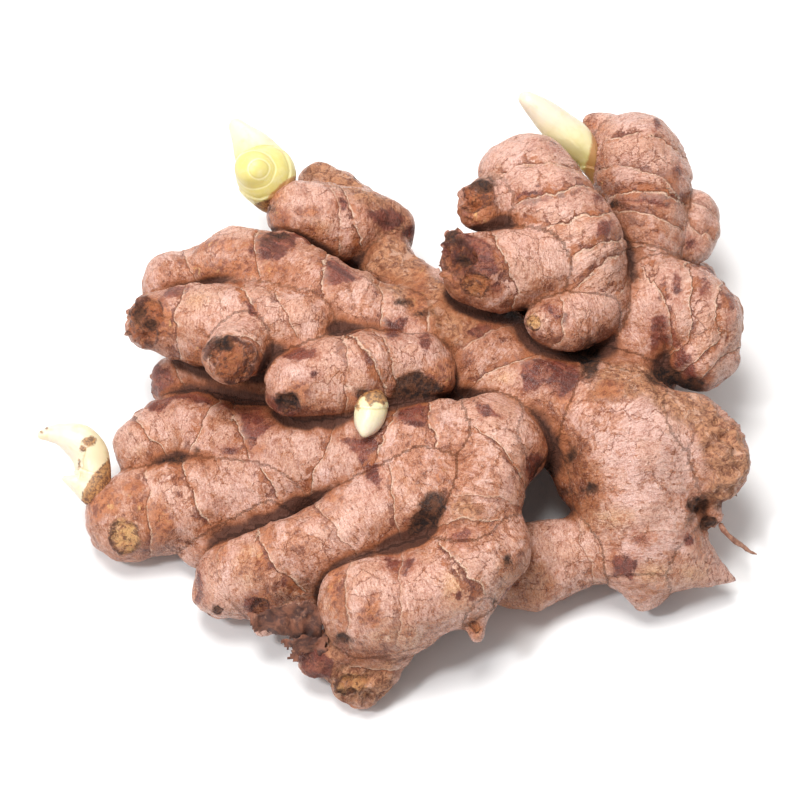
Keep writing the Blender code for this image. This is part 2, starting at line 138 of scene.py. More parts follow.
# node rings: (strength, lobe or None, points across the finger)
RINGS = [
    (1.0, "finger_3", [(263, 533), (266, 548), (272, 566), (290, 578), (302, 584)]),
    (0.5, "finger_3", [(328, 522), (342, 534), (352, 548), (356, 558)]),
    (0.35, "finger_3", [(222, 548), (226, 562), (225, 580), (222, 592)]),
    (0.6, "finger_3", [(397, 500), (400, 514), (399, 530)]),
    (0.6, "finger_3_knob", [(250, 588), (248, 600), (256, 612)]),
    (0.9, "finger_2", [(192, 480), (195, 496), (200, 508), (210, 520)]),
    (0.8, "finger_2", [(262, 460), (270, 478), (278, 490), (278, 508)]),
    (0.6, "finger_2", [(148, 484), (158, 505), (160, 528), (152, 548)]),
    (0.7, "finger_1", [(144, 426), (158, 436), (166, 448)]),
    (0.7, "finger_1", [(211, 418), (203, 430), (197, 446)]),
    (0.9, "finger_1", [(226, 402), (242, 414), (247, 435), (250, 458)]),
    (1.0, "finger_1", [(333, 440), (324, 454), (316, 474), (316, 494)]),
    (0.9, "finger_1", [(386, 436), (380, 455), (378, 478)]),
    (1.0, "finger_1", [(430, 404), (437, 424), (434, 445), (440, 466)]),
    (0.8, "palm", [(468, 412), (478, 426), (488, 440), (500, 458), (514, 474)]),
    (0.4, "palm", [(456, 500), (474, 495), (500, 500)]),
    (0.7, "palm", [(474, 522), (490, 526), (510, 530)]),
    (0.8, "finger_4", [(450, 552), (458, 566), (468, 578), (478, 590), (490, 596)]),
    (0.45, "finger_4", [(398, 560), (404, 580), (404, 605), (398, 630)]),
    (0.5, "finger_4", [(352, 570), (352, 590), (350, 610), (346, 628)]),
    (0.5, "finger_4_knob", [(348, 636), (362, 632), (380, 640)]),
    (0.7, "cut_stem", [(338, 672), (350, 667), (372, 667), (392, 672)]),
    (0.6, "upper_1", [(186, 254), (192, 266), (196, 280)]),
    (0.7, "upper_1", [(252, 238), (256, 255), (262, 272)]),
    (1.0, "upper_1", [(316, 262), (320, 280), (322, 300), (326, 320)]),
    (0.8, "upper_1", [(384, 296), (382, 312), (386, 330)]),
    (0.7, "upper_1", [(426, 326), (432, 340), (432, 356)]),
    (0.5, "upper_1", [(404, 342), (408, 356), (404, 372)]),
    (0.9, "upper_2", [(250, 298), (254, 312), (262, 325), (272, 342)]),
    (0.6, "upper_2", [(266, 298), (284, 310), (294, 324)]),
    (0.4, "upper_2", [(222, 290), (226, 305), (222, 322)]),
    (0.7, "upper_2", [(178, 305), (184, 320), (182, 336), (176, 350)]),
    (0.8, "upper_3", [(222, 344), (240, 334), (262, 342), (268, 360), (260, 380), (236, 387)]),
    (0.6, "upper_4", [(352, 346), (349, 362), (351, 380), (350, 402)]),
    (1.0, "upper_4", [(362, 344), (370, 354), (378, 368), (386, 382)]),
    (0.7, "upper_4", [(384, 346), (393, 358), (396, 372)]),
    (0.9, "tip_knob", [(346, 202), (358, 216), (362, 232), (358, 250)]),
    (0.5, "tip_knob", [(330, 190), (340, 205), (344, 222), (338, 242)]),
    (0.7, "right_1", [(484, 179), (505, 178), (520, 177), (534, 172), (567, 167), (580, 165)]),
    (1.0, "right_1", [(512, 208), (530, 202), (549, 198), (569, 196), (592, 192)]),
    (0.9, "right_1", [(515, 239), (545, 237), (558, 229), (584, 225), (602, 217)]),
    (0.9, "right_1", [(556, 272), (569, 263), (590, 255), (608, 246)]),
    (0.8, "right_1", [(552, 295), (567, 291), (592, 283), (607, 268), (618, 256)]),
    (0.8, "right_1", [(590, 316), (605, 306), (618, 292)]),
    (0.8, "right_1_dark_stub", [(502, 251), (512, 268), (516, 288)]),
    (0.6, "right_1_nodule", [(560, 308), (566, 322), (560, 338)]),
    (0.8, "right_2", [(592, 144), (613, 141), (643, 148), (668, 160)]),
    (0.6, "right_2", [(612, 168), (635, 170), (655, 182)]),
    (1.0, "right_2", [(611, 200), (639, 192), (660, 204), (682, 204)]),
    (0.7, "right_2", [(615, 214), (643, 214), (669, 227)]),
    (0.6, "right_neck", [(622, 257), (643, 255), (665, 250)]),
    (0.6, "right_3", [(690, 228), (703, 234), (714, 246)]),
    (0.5, "right_3", [(690, 210), (705, 212), (716, 222)]),
    (0.8, "right_4", [(655, 284), (663, 306), (671, 330)]),
    (0.9, "right_4", [(671, 276), (684, 293), (690, 315), (696, 340)]),
    (0.8, "right_4", [(688, 254), (700, 272), (707, 300), (709, 325), (709, 350)]),
    (0.7, "right_4", [(720, 266), (729, 290), (733, 320), (730, 348)]),
    (0.7, "right_neck", [(632, 322), (648, 318), (662, 324)]),
    (0.45, "body_low_lobe", [(572, 520), (582, 532), (588, 548), (592, 566), (592, 578)]),
    (0.25, "body", [(600, 494), (622, 487), (645, 486), (668, 492)]),
    (0.23, "body", [(600, 448), (640, 441), (680, 452)]),
    (0.30, "body", [(642, 540), (665, 530), (690, 528)]),
    (0.7, "trunk", [(478, 386), (500, 371), (520, 362), (545, 358)]),
    (0.5, "trunk", [(452, 352), (470, 345), (498, 334)]),
    (0.6, "middle_finger", [(190, 392), (186, 385), (182, 378)]),
]

# stains and scars: kind, then polygons or (x, y, rx, ry) ellipses
MAROON = [
    [(446, 234), (470, 238), (502, 250), (508, 270), (486, 282), (462, 278), (448, 262)],
    [(292, 640), (318, 646), (338, 660), (334, 676), (322, 688), (304, 682)],
    [(148, 360), (200, 384), (262, 390), (276, 402), (236, 410), (200, 404), (150, 396)],
    [(338, 437), (358, 441), (386, 436), (380, 470), (383, 494), (370, 478), (356, 450)],
    [(228, 404), (262, 400), (285, 398), (304, 412), (284, 424), (264, 438), (251, 458), (246, 440), (243, 418)],
    [(155, 378), (172, 376), (192, 384), (178, 400), (165, 412), (150, 408)],
    [(320, 262), (335, 262), (352, 275), (364, 282), (340, 288), (325, 286)],
    [(165, 299), (175, 288), (198, 284), (190, 292), (174, 300)],
    [(380, 316), (396, 322), (411, 318), (406, 335), (395, 346), (385, 334)],
    [(262, 236), (300, 240), (298, 250), (280, 262), (262, 263), (252, 254)],
    [(285, 349), (300, 345), (318, 350), (320, 358), (298, 361), (284, 358)],
    [(360, 342), (368, 348), (381, 368), (379, 374), (366, 360)],
    [(516, 196), (548, 192), (572, 195), (592, 192), (575, 200), (552, 204), (530, 209), (516, 206)],
    [(612, 201), (640, 186), (655, 198), (684, 196), (688, 204), (665, 212), (640, 205)],
    [(520, 362), (545, 358), (576, 362), (580, 385), (562, 400), (545, 386), (525, 396)],
    [(474, 404), (492, 410), (504, 420), (484, 418)],
    [(468, 336), (490, 321), (522, 318), (500, 331), (480, 341)],
    [(383, 553), (398, 551), (414, 556), (408, 577), (398, 572), (387, 563)],
    [(614, 556), (624, 555), (637, 562), (632, 579), (615, 575)],
    [(390, 404), (420, 401), (436, 412), (424, 430), (410, 426), (396, 426)],
    [(367, 215), (395, 213), (403, 230), (388, 236), (372, 225)],
    [(540, 309), (552, 305), (569, 318), (566, 332), (555, 322)],
    [(650, 321), (668, 317), (676, 340), (690, 360), (700, 386), (672, 392), (656, 384), (650, 360)],
    [(450, 534), (468, 527), (476, 532), (462, 545)],
    [(205, 562), (196, 580), (200, 606), (208, 598), (204, 580)],
    (425, 345, 5, 10), (256, 310, 5, 10), (345, 208, 5, 7), (600, 234, 6, 9), (594, 205, 4, 7),
    (676, 288, 4, 11), (704, 290, 4, 12), (661, 294, 3, 8), (728, 305, 3, 9), (497, 292, 5, 5),
    (256, 606, 9, 9), (287, 222, 3, 3), (318, 375, 5, 3), (236, 452, 8, 4), (460, 596, 4, 4),
    (560, 148, 7, 3), (656, 132, 3, 6), (676, 178, 5, 9), (690, 246, 8, 5), (722, 268, 7, 8),
    (395, 226, 9, 7), (410, 236, 7, 6), (640, 540, 8, 5), (690, 540, 6, 5), (535, 470, 10, 18),
]
RUST = [
    [(362, 600), (376, 598), (384, 610), (378, 628), (362, 624)], [(92, 500), (112, 484), (130, 500), (112, 516), (96, 524)],
    [(138, 500), (172, 508), (180, 526), (166, 544), (150, 552), (148, 524)], (205, 250, 44, 5), (420, 300, 10, 26),
    [(100, 540), (112, 556), (140, 558), (156, 548), (150, 562), (120, 568), (98, 554)], (560, 450, 10, 24),
    (155, 320, 21, 25), (238, 366, 19, 14), (302, 392, 12, 10), (282, 224, 13, 13), (316, 236, 10, 8),
    (476, 212, 20, 17), (466, 270, 22, 30), (138, 486, 11, 7), (160, 516, 14, 12), (268, 548, 7, 20),
    (262, 604, 13, 12), (225, 550, 7, 10), (341, 592, 8, 26), (377, 608, 7, 15), (100, 486, 9, 14),
    (441, 475, 3, 7), (455, 552, 7, 5), (480, 590, 6, 6), (477, 628, 7, 14), (270, 202, 12, 6),
    (600, 190, 8, 7), (598, 176, 5, 12), (430, 418, 10, 8), (330, 496, 12, 6), (262, 452, 8, 5),
    (205, 358, 8, 18), (185, 368, 20, 6), (312, 215, 10, 5), (356, 400, 6, 5), (590, 128, 9, 5),
    (608, 396, 14, 8), (566, 400, 8, 16), (640, 590, 14, 5), (700, 540, 5, 14), (318, 514, 14, 5),
    [(252, 262), (300, 272), (262, 282), (200, 280), (175, 262), (205, 268)],
    [(430, 372), (452, 352), (466, 356), (452, 378), (448, 398), (430, 396), (408, 392)],
]
YELLOW = [
    (130, 530, 14, 13), (112, 505, 9, 10), (254, 566, 15, 20), (292, 594, 14, 10), (457, 586, 12, 20),
    (338, 604, 8, 12), (536, 323, 9, 9), (480, 292, 10, 9), (606, 520, 24, 10), (652, 574, 20, 9),
    (322, 232, 8, 7), (200, 300, 16, 8), (560, 470, 8, 10), (400, 640, 24, 12), (500, 380, 16, 8),
    (690, 575, 14, 10), (150, 455, 12, 6),
]
TAN = [
    [(500, 566), (528, 560), (548, 572), (552, 596), (530, 606), (500, 612)],
    [(498, 560), (524, 559), (545, 566), (558, 582), (548, 600), (522, 613), (494, 614)],
    [(535, 440), (560, 440), (598, 466), (608, 500), (600, 515), (570, 516), (548, 500)],
    [(536, 400), (552, 398), (566, 412), (560, 440), (540, 446), (534, 420)],
]
ROUGH = [
    [(646, 400), (690, 396), (715, 408), (742, 436), (752, 465), (746, 498), (720, 512), (706, 500), (709, 472),
     (702, 452), (690, 428), (665, 414)],
    [(592, 400), (598, 374), (640, 366), (682, 384), (703, 397), (682, 406), (640, 400), (604, 404)],
    [(362, 268), (378, 240), (400, 236), (418, 246), (434, 278), (452, 282), (458, 312), (432, 328), (402, 300),
     (376, 286)],
    [(300, 150), (330, 165), (380, 182), (402, 208), (412, 240), (380, 245), (368, 212), (346, 192), (310, 180)],
    [(325, 664), (350, 664), (398, 664), (398, 700), (360, 708), (330, 700)],
    [(302, 640), (330, 630), (345, 660), (330, 690), (300, 672)],
    [(452, 504), (470, 496), (482, 508), (478, 524), (458, 524)],
    [(430, 300), (470, 316), (500, 322), (480, 340), (450, 350), (432, 336)],
]
SOIL = [
    (153, 328, 7, 8), (144, 316, 6, 9), (292, 402, 11, 9), (486, 188, 16, 6), (452, 240, 12, 9), (462, 262, 9, 8),
    (221, 608, 5, 4), (178, 462, 12, 4), (202, 452, 5, 5), (664, 380, 22, 10), (692, 386, 12, 9), (508, 560, 5, 5),
    (572, 456, 5, 9), (590, 490, 10, 6), (565, 494, 8, 4), (226, 345, 12, 7), (590, 364, 12, 26), (366, 396, 9, 7),
    (268, 212, 11, 6), (610, 208, 10, 4), (545, 480, 10, 22), (350, 692, 9, 3), (366, 404, 4, 3), (282, 240, 12, 4),
    (700, 508, 9, 9), (712, 526, 8, 8), (405, 303, 8, 3), (425, 316, 8, 3), (345, 640, 10, 6), (498, 604, 5, 4),
    [(412, 522), (428, 494), (446, 490), (452, 510), (432, 530), (408, 542)],
    [(400, 380), (420, 372), (445, 390), (430, 400), (395, 402)],
]
# pale patches: lighter skin, and painted highlight on the best-lit crowns
PALE_AND_HIGHLIGHT = [
    [(604, 412), (650, 404), (696, 440), (700, 500), (684, 556), (625, 572), (592, 520), (604, 460)],
    [(330, 443), (356, 447), (366, 470), (372, 490), (345, 494), (322, 494), (318, 474)],
    [(432, 408), (462, 412), (456, 440), (446, 466), (438, 440)],
    [(385, 440), (405, 438), (400, 470), (388, 484)],
    (300, 566, 14, 16), (215, 300, 24, 10), (300, 376, 10, 10), (300, 205, 14, 8), (530, 160, 24, 10),
    (496, 282, 6, 9), (562, 336, 6, 8), (630, 440, 40, 22), (660, 500, 30, 20), (388, 310, 10, 8), (300, 290, 14, 6),
    (640, 125, 24, 8), (206, 584, 6, 12), (350, 300, 10, 8), (430, 350, 6, 10), (230, 575, 5, 10),
]


# Broken-off ends: (x, y, half width, half height, turn in degrees, depth in mm,
# warmth from 0 = dark to 1 = yellow).
SCARS = [
    (152, 322, 15, 22, 10, 0.9, 0.45), (240, 363, 23, 22, 0, 0.9, 0.35), (291, 404, 15, 12, 20, 0.8, 0.0),
    (128, 536, 15, 14, 0, 0.6, 1.0), (262, 608, 9, 8, -30, 0.6, 0.15),
    (222, 609, 5, 5, 0, 0.5, 0.0), (479, 203, 17, 13, -25, 0.9, 0.5), (462, 262, 15, 20, 0, 1.1, 0.2),
    (478, 288, 15, 12, 30, 0.6, 0.6), (533, 325, 7, 7, 0, 0.5, 1.1), (354, 685, 17, 11, 0, 1.0, 0.80),
    (477, 628, 8, 7, 0, 0.4, 0.5),
]

# Places drawn darker, browner and rougher; in the folds they also deepen the painted shade.
DARKENED = [
    [(262, 236), (330, 250), (372, 300), (384, 336), (330, 334), (300, 300), (270, 280)],
    [(556, 335), (600, 325), (628, 345), (646, 384), (622, 430), (590, 420), (572, 370)],
    [(395, 440), (440, 425), (500, 440), (512, 500), (470, 520), (430, 500), (400, 480)],
    [(150, 452), (215, 450), (218, 478), (160, 478)], [(496, 510), (522, 500), (530, 560), (508, 584), (496, 548)],
    [(250, 512), (300, 505), (310, 545), (300, 590), (270, 575), (256, 545)],
    [(533, 398), (556, 392), (575, 430), (598, 470), (612, 498), (590, 512), (560, 502), (540, 470), (528, 440)],
    [(585, 352), (640, 350), (700, 380), (712, 398), (660, 398), (620, 400), (590, 385)],
    [(440, 288), (480, 300), (520, 318), (545, 350), (520, 372), (470, 372), (436, 350), (425, 310)],
    [(330, 172), (380, 180), (418, 232), (450, 285), (430, 320), (395, 290), (360, 262), (350, 220)],
    [(150, 372), (200, 395), (262, 402), (330, 408), (344, 440), (300, 432), (250, 440), (200, 420), (160, 410)],
    [(134, 258), (170, 240), (190, 262), (182, 300), (186, 345), (160, 350), (134, 330)],
    [(286, 628), (330, 620), (400, 650), (398, 700), (345, 708), (300, 670)],
    [(388, 525), (440, 505), (520, 520), (505, 548), (440, 560), (395, 556)],
    [(388, 372), (420, 376), (440, 356), (436, 398), (404, 402), (384, 396)],
    [(604, 182), (660, 196), (672, 238), (640, 262), (610, 250)],
    [(440, 228), (480, 222), (505, 250), (500, 300), (470, 310), (446, 290)],
    [(84, 490), (118, 478), (160, 492), (176, 530), (160, 560), (118, 560), (90, 530)],
    [(205, 520), (240, 530), (300, 580), (290, 612), (255, 615), (262, 580), (215, 552)],
    [(330, 560), (350, 550), (352, 590), (345, 630), (330, 610)],
    [(560, 325), (600, 330), (596, 352), (560, 348), (540, 340)],
    (240, 363, 30, 30), (476, 205, 24, 20), (700, 508, 16, 18), (205, 250, 60, 10),
]

# Torn, jagged places: (x, y, half width, half height, height in mm).
JAGS = [(458, 260, 20, 32, 1.5), (352, 690, 46, 26, 0.7), (146, 322, 16, 28, 0.8), (724, 462, 24, 62, 0.95),
        (300, 650, 30, 26, 0.7), (468, 206, 16, 18, 0.8), (290, 404, 16, 14, 0.5), (700, 512, 14, 16, 0.7)]
# ---------------------------------------------------------------- maths
CT, ST = math.cos(TILT), math.sin(TILT)
TOWARDS = np.array([0.0, -CT, ST])       # from the hand to the eye


def plan(v):
    """Plan coordinates and depth (mm towards the eye) of points in mm."""
    b = v[:, 1] * ST + (v[:, 2] - MID_Z) * CT
    c = -v[:, 1] * CT + (v[:, 2] - MID_Z) * ST
    k = 4.0 / (1.0 - c / FAR)
    return 400 + k * v[:, 0], 400 - k * b, c


def mixhash(i, j, k, seed):
    h = (i * 374761393 + j * 668265263 + k * 2147483647 + seed * 974634777) & 0xFFFFFFFF
    h = ((h ^ (h >> 13)) * 1274126177) & 0xFFFFFFFF
    h = ((h ^ (h >> 16)) * 2246822519) & 0xFFFFFFFF
    return ((h ^ (h >> 15)) & 0xFFFFFF).astype(np.float64) / 0x7FFFFF - 1.0


def noise(p, scale, seed=0, octaves=1):
    """Smooth value noise in about -1..1; scale is the size of its lumps in mm."""
    out, amp, total = np.zeros(len(p)), 1.0, 0.0
    q = p / scale + 1000.0
    for o in range(octaves):
        f = np.floor(q)
        i = f.astype(np.int64)
        t = q - f
        t = t * t * t * (t * (t * 6 - 15) + 10)
        s = np.zeros(len(p))
        for dx in (0, 1):
            wx = t[:, 0] if dx else 1 - t[:, 0]
            for dy in (0, 1):
                wy = t[:, 1] if dy else 1 - t[:, 1]
                for dz in (0, 1):
                    wz = t[:, 2] if dz else 1 - t[:, 2]
                    s += wx * wy * wz * mixhash(i[:, 0] + dx, i[:, 1] + dy, i[:, 2] + dz, seed + o * 7)
        out += amp * s
        total += amp
        amp *= 0.5
        q = q * 2.03 + 17.3
    return out * 1.5 / total


def ramp(x, a, b):
    t = np.clip((x - a) / (b - a), 0.0, 1.0)
    return t * t * (3 - 2 * t)


def spine(points, step):
    """Even run of (x, y, z, r) along a smooth curve through the given balls."""
    p = [np.array(q, dtype=float) for q in points]
    if len(p) == 2:
        n = max(2, int(np.linalg.norm(p[1][:3] - p[0][:3]) / step) + 1)
        return np.array([p[0] * (1 - i / n) + p[1] * (i / n) for i in range(n + 1)])
    p = [2 * p[0] - p[1]] + p + [2 * p[-1] - p[-2]]
    run = []
    for i in range(1, len(p) - 2):
        a, b, c, d = p[i - 1:i + 3]
        n = max(2, int(np.linalg.norm(c[:3] - b[:3]) / step) + 1)
        for j in range(n):
            t = j / n
            run.append(0.5 * (2 * b + (c - a) * t + (2 * a - 5 * b + 4 * c - d) * t * t
                              + (3 * b - a - 3 * c + d) * t ** 3))
    run.append(p[-2])
    run = np.array(run)
    run[:, 3] = np.maximum(run[:, 3], 0.3)
    return run


def field(runs, blends, lo, hi, h):
    """Signed distance grid (mm) of lobes melted together."""
    n = np.ceil((hi - lo) / h).astype(int)
    pad = 4.0
    whole = np.full(n, pad, np.float32)
    axes = [(lo[i] + h * np.arange(n[i])).astype(np.float32) for i in range(3)]
    for run, k in zip(runs, blends):
        l = (run[:, :3] - run[:, 3:]).min(0) - pad
        u = (run[:, :3] + run[:, 3:]).max(0) + pad
        i0 = np.maximum(0, np.floor((l - lo) / h).astype(int))
        i1 = np.minimum(n, np.ceil((u - lo) / h).astype(int) + 1)
        one = np.full(i1 - i0, pad, np.float32)
        for q in run:
            j0 = np.maximum(i0, np.floor((q[:3] - q[3] - pad - lo) / h).astype(int))
            j1 = np.minimum(i1, np.ceil((q[:3] + q[3] + pad - lo) / h).astype(int) + 1)
            x, y, z = [axes[a][j0[a]:j1[a]] - np.float32(q[a]) for a in range(3)]
            d = np.sqrt((x * x)[:, None, None] + (y * y)[None, :, None] + (z * z)[None, None, :]) - np.float32(q[3])
            s = tuple(slice(j0[a] - i0[a], j1[a] - i0[a]) for a in range(3))
            np.minimum(one[s], d, out=one[s])
        s = tuple(slice(i0[a], i1[a]) for a in range(3))
        old = whole[s]
        t = np.clip(0.5 + 0.5 * (old - one) / k, 0, 1)
        whole[s] = old * (1 - t) + one * t - k * t * (1 - t)
    return whole


def sample(grid, lo, h, p):
    q = (p - lo) / h
    top = np.array(grid.shape) - 2
    i = np.clip(np.floor(q).astype(int), 0, top)
    t = np.clip(q - i, 0, 1)
    out = np.zeros(len(p))
    for dx in (0, 1):
        wx = t[:, 0] if dx else 1 - t[:, 0]
        for dy in (0, 1):
            wy = t[:, 1] if dy else 1 - t[:, 1]
            for dz in (0, 1):
                wz = t[:, 2] if dz else 1 - t[:, 2]
                out += wx * wy * wz * grid[i[:, 0] + dx, i[:, 1] + dy, i[:, 2] + dz]
    return out


def slope(grid, lo, h, p):
    g = np.zeros_like(p)
    for a in range(3):
        e = np.zeros(3)
        e[a] = h * 0.75
        g[:, a] = (sample(grid, lo, h, p + e) - sample(grid, lo, h, p - e)) / (1.5 * h)
    return g


def surface(grid, lo, h):
    """Quad mesh of the grid's zero surface (one point per crossed cell)."""
    n = np.array(grid.shape)
    cells = n - 1
    inside = grid < 0
    flat = lambda c: (c[:, 0] * cells[1] + c[:, 1]) * cells[2] + c[:, 2]
    size = int(cells.prod())
    acc = [np.zeros(size) for _ in range(3)]
    cnt = np.zeros(size)
    edges = []
    for ax in range(3):
        s0, s1 = [slice(None)] * 3, [slice(None)] * 3
        s0[ax], s1[ax] = slice(0, -1), slice(1, None)
        idx = np.argwhere(inside[tuple(s0)] != inside[tuple(s1)])
        o1, o2 = (ax + 1) % 3, (ax + 2) % 3
        idx = idx[(idx[:, o1] > 0) & (idx[:, o2] > 0) & (idx[:, o1] < n[o1] - 1) & (idx[:, o2] < n[o2] - 1)]
        a = grid[idx[:, 0], idx[:, 1], idx[:, 2]]
        nxt = idx.copy()
        nxt[:, ax] += 1
        b = grid[nxt[:, 0], nxt[:, 1], nxt[:, 2]]
        pos = idx.astype(float)
        pos[:, ax] += a / (a - b)
        quad = []
        for d1, d2 in ((0, 0), (-1, 0), (-1, -1), (0, -1)):
            c = idx.copy()
            c[:, o1] += d1
            c[:, o2] += d2
            f = flat(c)
            quad.append(f)
            for k in range(3):
                acc[k] += np.bincount(f, weights=pos[:, k], minlength=size)
            cnt += np.bincount(f, minlength=size)
        quad = np.stack(quad, 1)
        quad[a > 0] = quad[a > 0][:, ::-1]
        edges.append(quad)
    used = np.flatnonzero(cnt)
    index = np.full(size, -1, np.int64)
    index[used] = np.arange(len(used))
    verts = np.stack([acc[k][used] / cnt[used] for k in range(3)], 1) * h + lo
    return verts, index[np.concatenate(edges)]


def relax(verts, quads, grid, lo, h, times):
    """Even the mesh out and pull it back onto the surface."""
    e = np.concatenate([quads[:, [0, 1]], quads[:, [1, 2]], quads[:, [2, 3]], quads[:, [3, 0]]])
    n = len(verts)
    deg = np.bincount(e[:, 0], minlength=n) + np.bincount(e[:, 1], minlength=n)
    for _ in range(times):
        avg = np.stack([np.bincount(e[:, 0], weights=verts[e[:, 1], k], minlength=n)
                        + np.bincount(e[:, 1], weights=verts[e[:, 0], k], minlength=n) for k in range(3)], 1)
        verts = 0.45 * verts + 0.55 * avg / deg[:, None]
        g = slope(grid, lo, h, verts)
        f = sample(grid, lo, h, verts)
        verts = verts - g * (f / np.maximum((g * g).sum(1), 0.25))[:, None]
    return verts


def normals(verts, quads):
    d1 = verts[quads[:, 2]] - verts[quads[:, 0]]
    d2 = verts[quads[:, 3]] - verts[quads[:, 1]]
    fn = np.cross(d1, d2)
    out = np.zeros_like(verts)
    for k in range(3):
        for c in range(4):
            out[:, k] += np.bincount(quads[:, c], weights=fn[:, k], minlength=len(verts))
    return out / np.maximum(np.linalg.norm(out, axis=1), 1e-9)[:, None]


def spread(quads, values, times):
    """Blur a per-point value over the mesh."""
    e = np.concatenate([quads[:, [0, 1]], quads[:, [1, 2]], quads[:, [2, 3]], quads[:, [3, 0]]])
    n = len(values)
    deg = np.bincount(e[:, 0], minlength=n) + np.bincount(e[:, 1], minlength=n)
    for _ in range(times):
        avg = (np.bincount(e[:, 0], weights=values[e[:, 1]], minlength=n)
               + np.bincount(e[:, 1], weights=values[e[:, 0]], minlength=n)) / deg
        values = 0.5 * values + 0.5 * avg
    return values


def biggest(verts, quads):
    """Keep the one largest body."""
    lab = np.arange(len(verts))
    while True:
        m = lab[quads].min(1)
        new = lab.copy()
        for c in range(4):
            np.minimum.at(new, quads[:, c], m)
        new = new[new]
        if (new == lab).all():
            break
        lab = new
    ids, count = np.unique(lab, return_counts=True)
    keep = lab == ids[count.argmax()]
    index = np.cumsum(keep) - 1
    return verts[keep], index[quads[keep[quads[:, 0]]]]


def along(verts, names, runs, grid_reach=5.0):
    """Which lobe each point belongs to, and where on that lobe it is."""
    n = len(verts)
    best = np.full(n, 1e9)
    second = np.full(n, 1e9)
    out = {"lobe": np.full(n, -1), "s": np.zeros(n), "t": np.zeros(n), "w": np.zeros(n), "r": np.ones(n),
           "left": np.zeros(n), "off": np.zeros(n), "cap": np.zeros(n)}
    for li, run in enumerate(runs):
        c, r = run[:, :3], run[:, 3]
        arc = np.concatenate([[0], np.cumsum(np.linalg.norm(np.diff(c, axis=0), axis=1))])
        tan = np.gradient(c, axis=0)
        tan /= np.linalg.norm(tan, axis=1)[:, None]
        l, u = (c - r[:, None]).min(0) - grid_reach, (c + r[:, None]).max(0) + grid_reach
        near = np.flatnonzero(((verts > l) & (verts < u)).all(1))
        for part in np.array_split(near, max(1, len(near) // 6000)):
            p = verts[part]
            d = np.sqrt(((p[:, None, :] - c[None]) ** 2).sum(2)) - r[None]
            j = d.argmin(1)
            dm = d[np.arange(len(part)), j]
            win = dm < best[part]
            second[part] = np.where(win, best[part], np.minimum(second[part], dm))
            q, jj = part[win], j[win]
            best[q] = dm[win]
            rel = verts[q] - c[jj]
            T = tan[jj]
            up = (rel * T).sum(1)
            side = np.cross(T, TOWARDS[None])
            side /= np.maximum(np.linalg.norm(side, axis=1), 1e-6)[:, None]
            face = np.cross(side, T)
            out["lobe"][q] = li
            out["s"][q] = arc[jj] + up
            out["t"][q] = (rel * side).sum(1) / r[jj]
            out["w"][q] = (rel * face).sum(1) / r[jj]
            out["r"][q] = r[jj]
            out["left"][q] = arc[-1] - arc[jj]
            out["cap"][q] = np.where(jj == len(r) - 1, up / r[jj], -1.0)
            out["off"][q] = np.linalg.norm(rel - T * up[:, None], axis=1)
    out["first"], out["second"] = best, second
    return out


def blur(a, radius, times=3):
    """Repeated box blur of a grid, radius in cells."""
    for _ in range(times):
        for ax in range(3):
            n = a.shape[ax]
            run = np.cumsum(a, axis=ax, dtype=np.float64)
            run = np.concatenate([np.zeros_like(run.take([0], ax)), run], axis=ax)
            i = np.arange(n)
            a = (run.take(np.minimum(i + radius + 1, n), ax) - run.take(np.maximum(i - radius, 0), ax)) / (2 * radius + 1)
    return a


def seen_from_above(verts, px, py, c):
    """True where nothing lies between a point and the eye."""
    u = np.clip((px / 3).astype(int), 0, 279)
    v = np.clip((py / 3).astype(int), 0, 279)
    top = np.full((280, 280), -1e9)
    np.maximum.at(top, (u, v), c)
    wide = top.copy()
    return c > wide[u, v] - 1.6


def inside_of(marks, px, py, reach=12.0):
    """Signed distance in mm, positive inside the nearest mark."""
    best = np.full(len(px), -reach)
    for m in marks:
        if isinstance(m, tuple):
            x, y, rx, ry = m
            q = np.sqrt(((px - x) / rx) ** 2 + ((py - y) / ry) ** 2)
            d = (1 - q) * min(rx, ry) / 4.0
        else:
            a = np.array(m, float)
            b = np.roll(a, -1, axis=0)
            d2 = np.full(len(px), 1e9)
            odd = np.zeros(len(px), bool)
            for (x0, y0), (x1, y1) in zip(a, b):
                ex, ey = x1 - x0, y1 - y0
                k = np.clip(((px - x0) * ex + (py - y0) * ey) / (ex * ex + ey * ey), 0, 1)
                d2 = np.minimum(d2, (px - x0 - k * ex) ** 2 + (py - y0 - k * ey) ** 2)
                if y1 != y0:
                    odd ^= ((y0 > py) != (y1 > py)) & (px < ex * (py - y0) / ey + x0)
            d = np.where(odd, 1, -1) * np.sqrt(d2) / 4.0
        best = np.maximum(best, d)
    return best


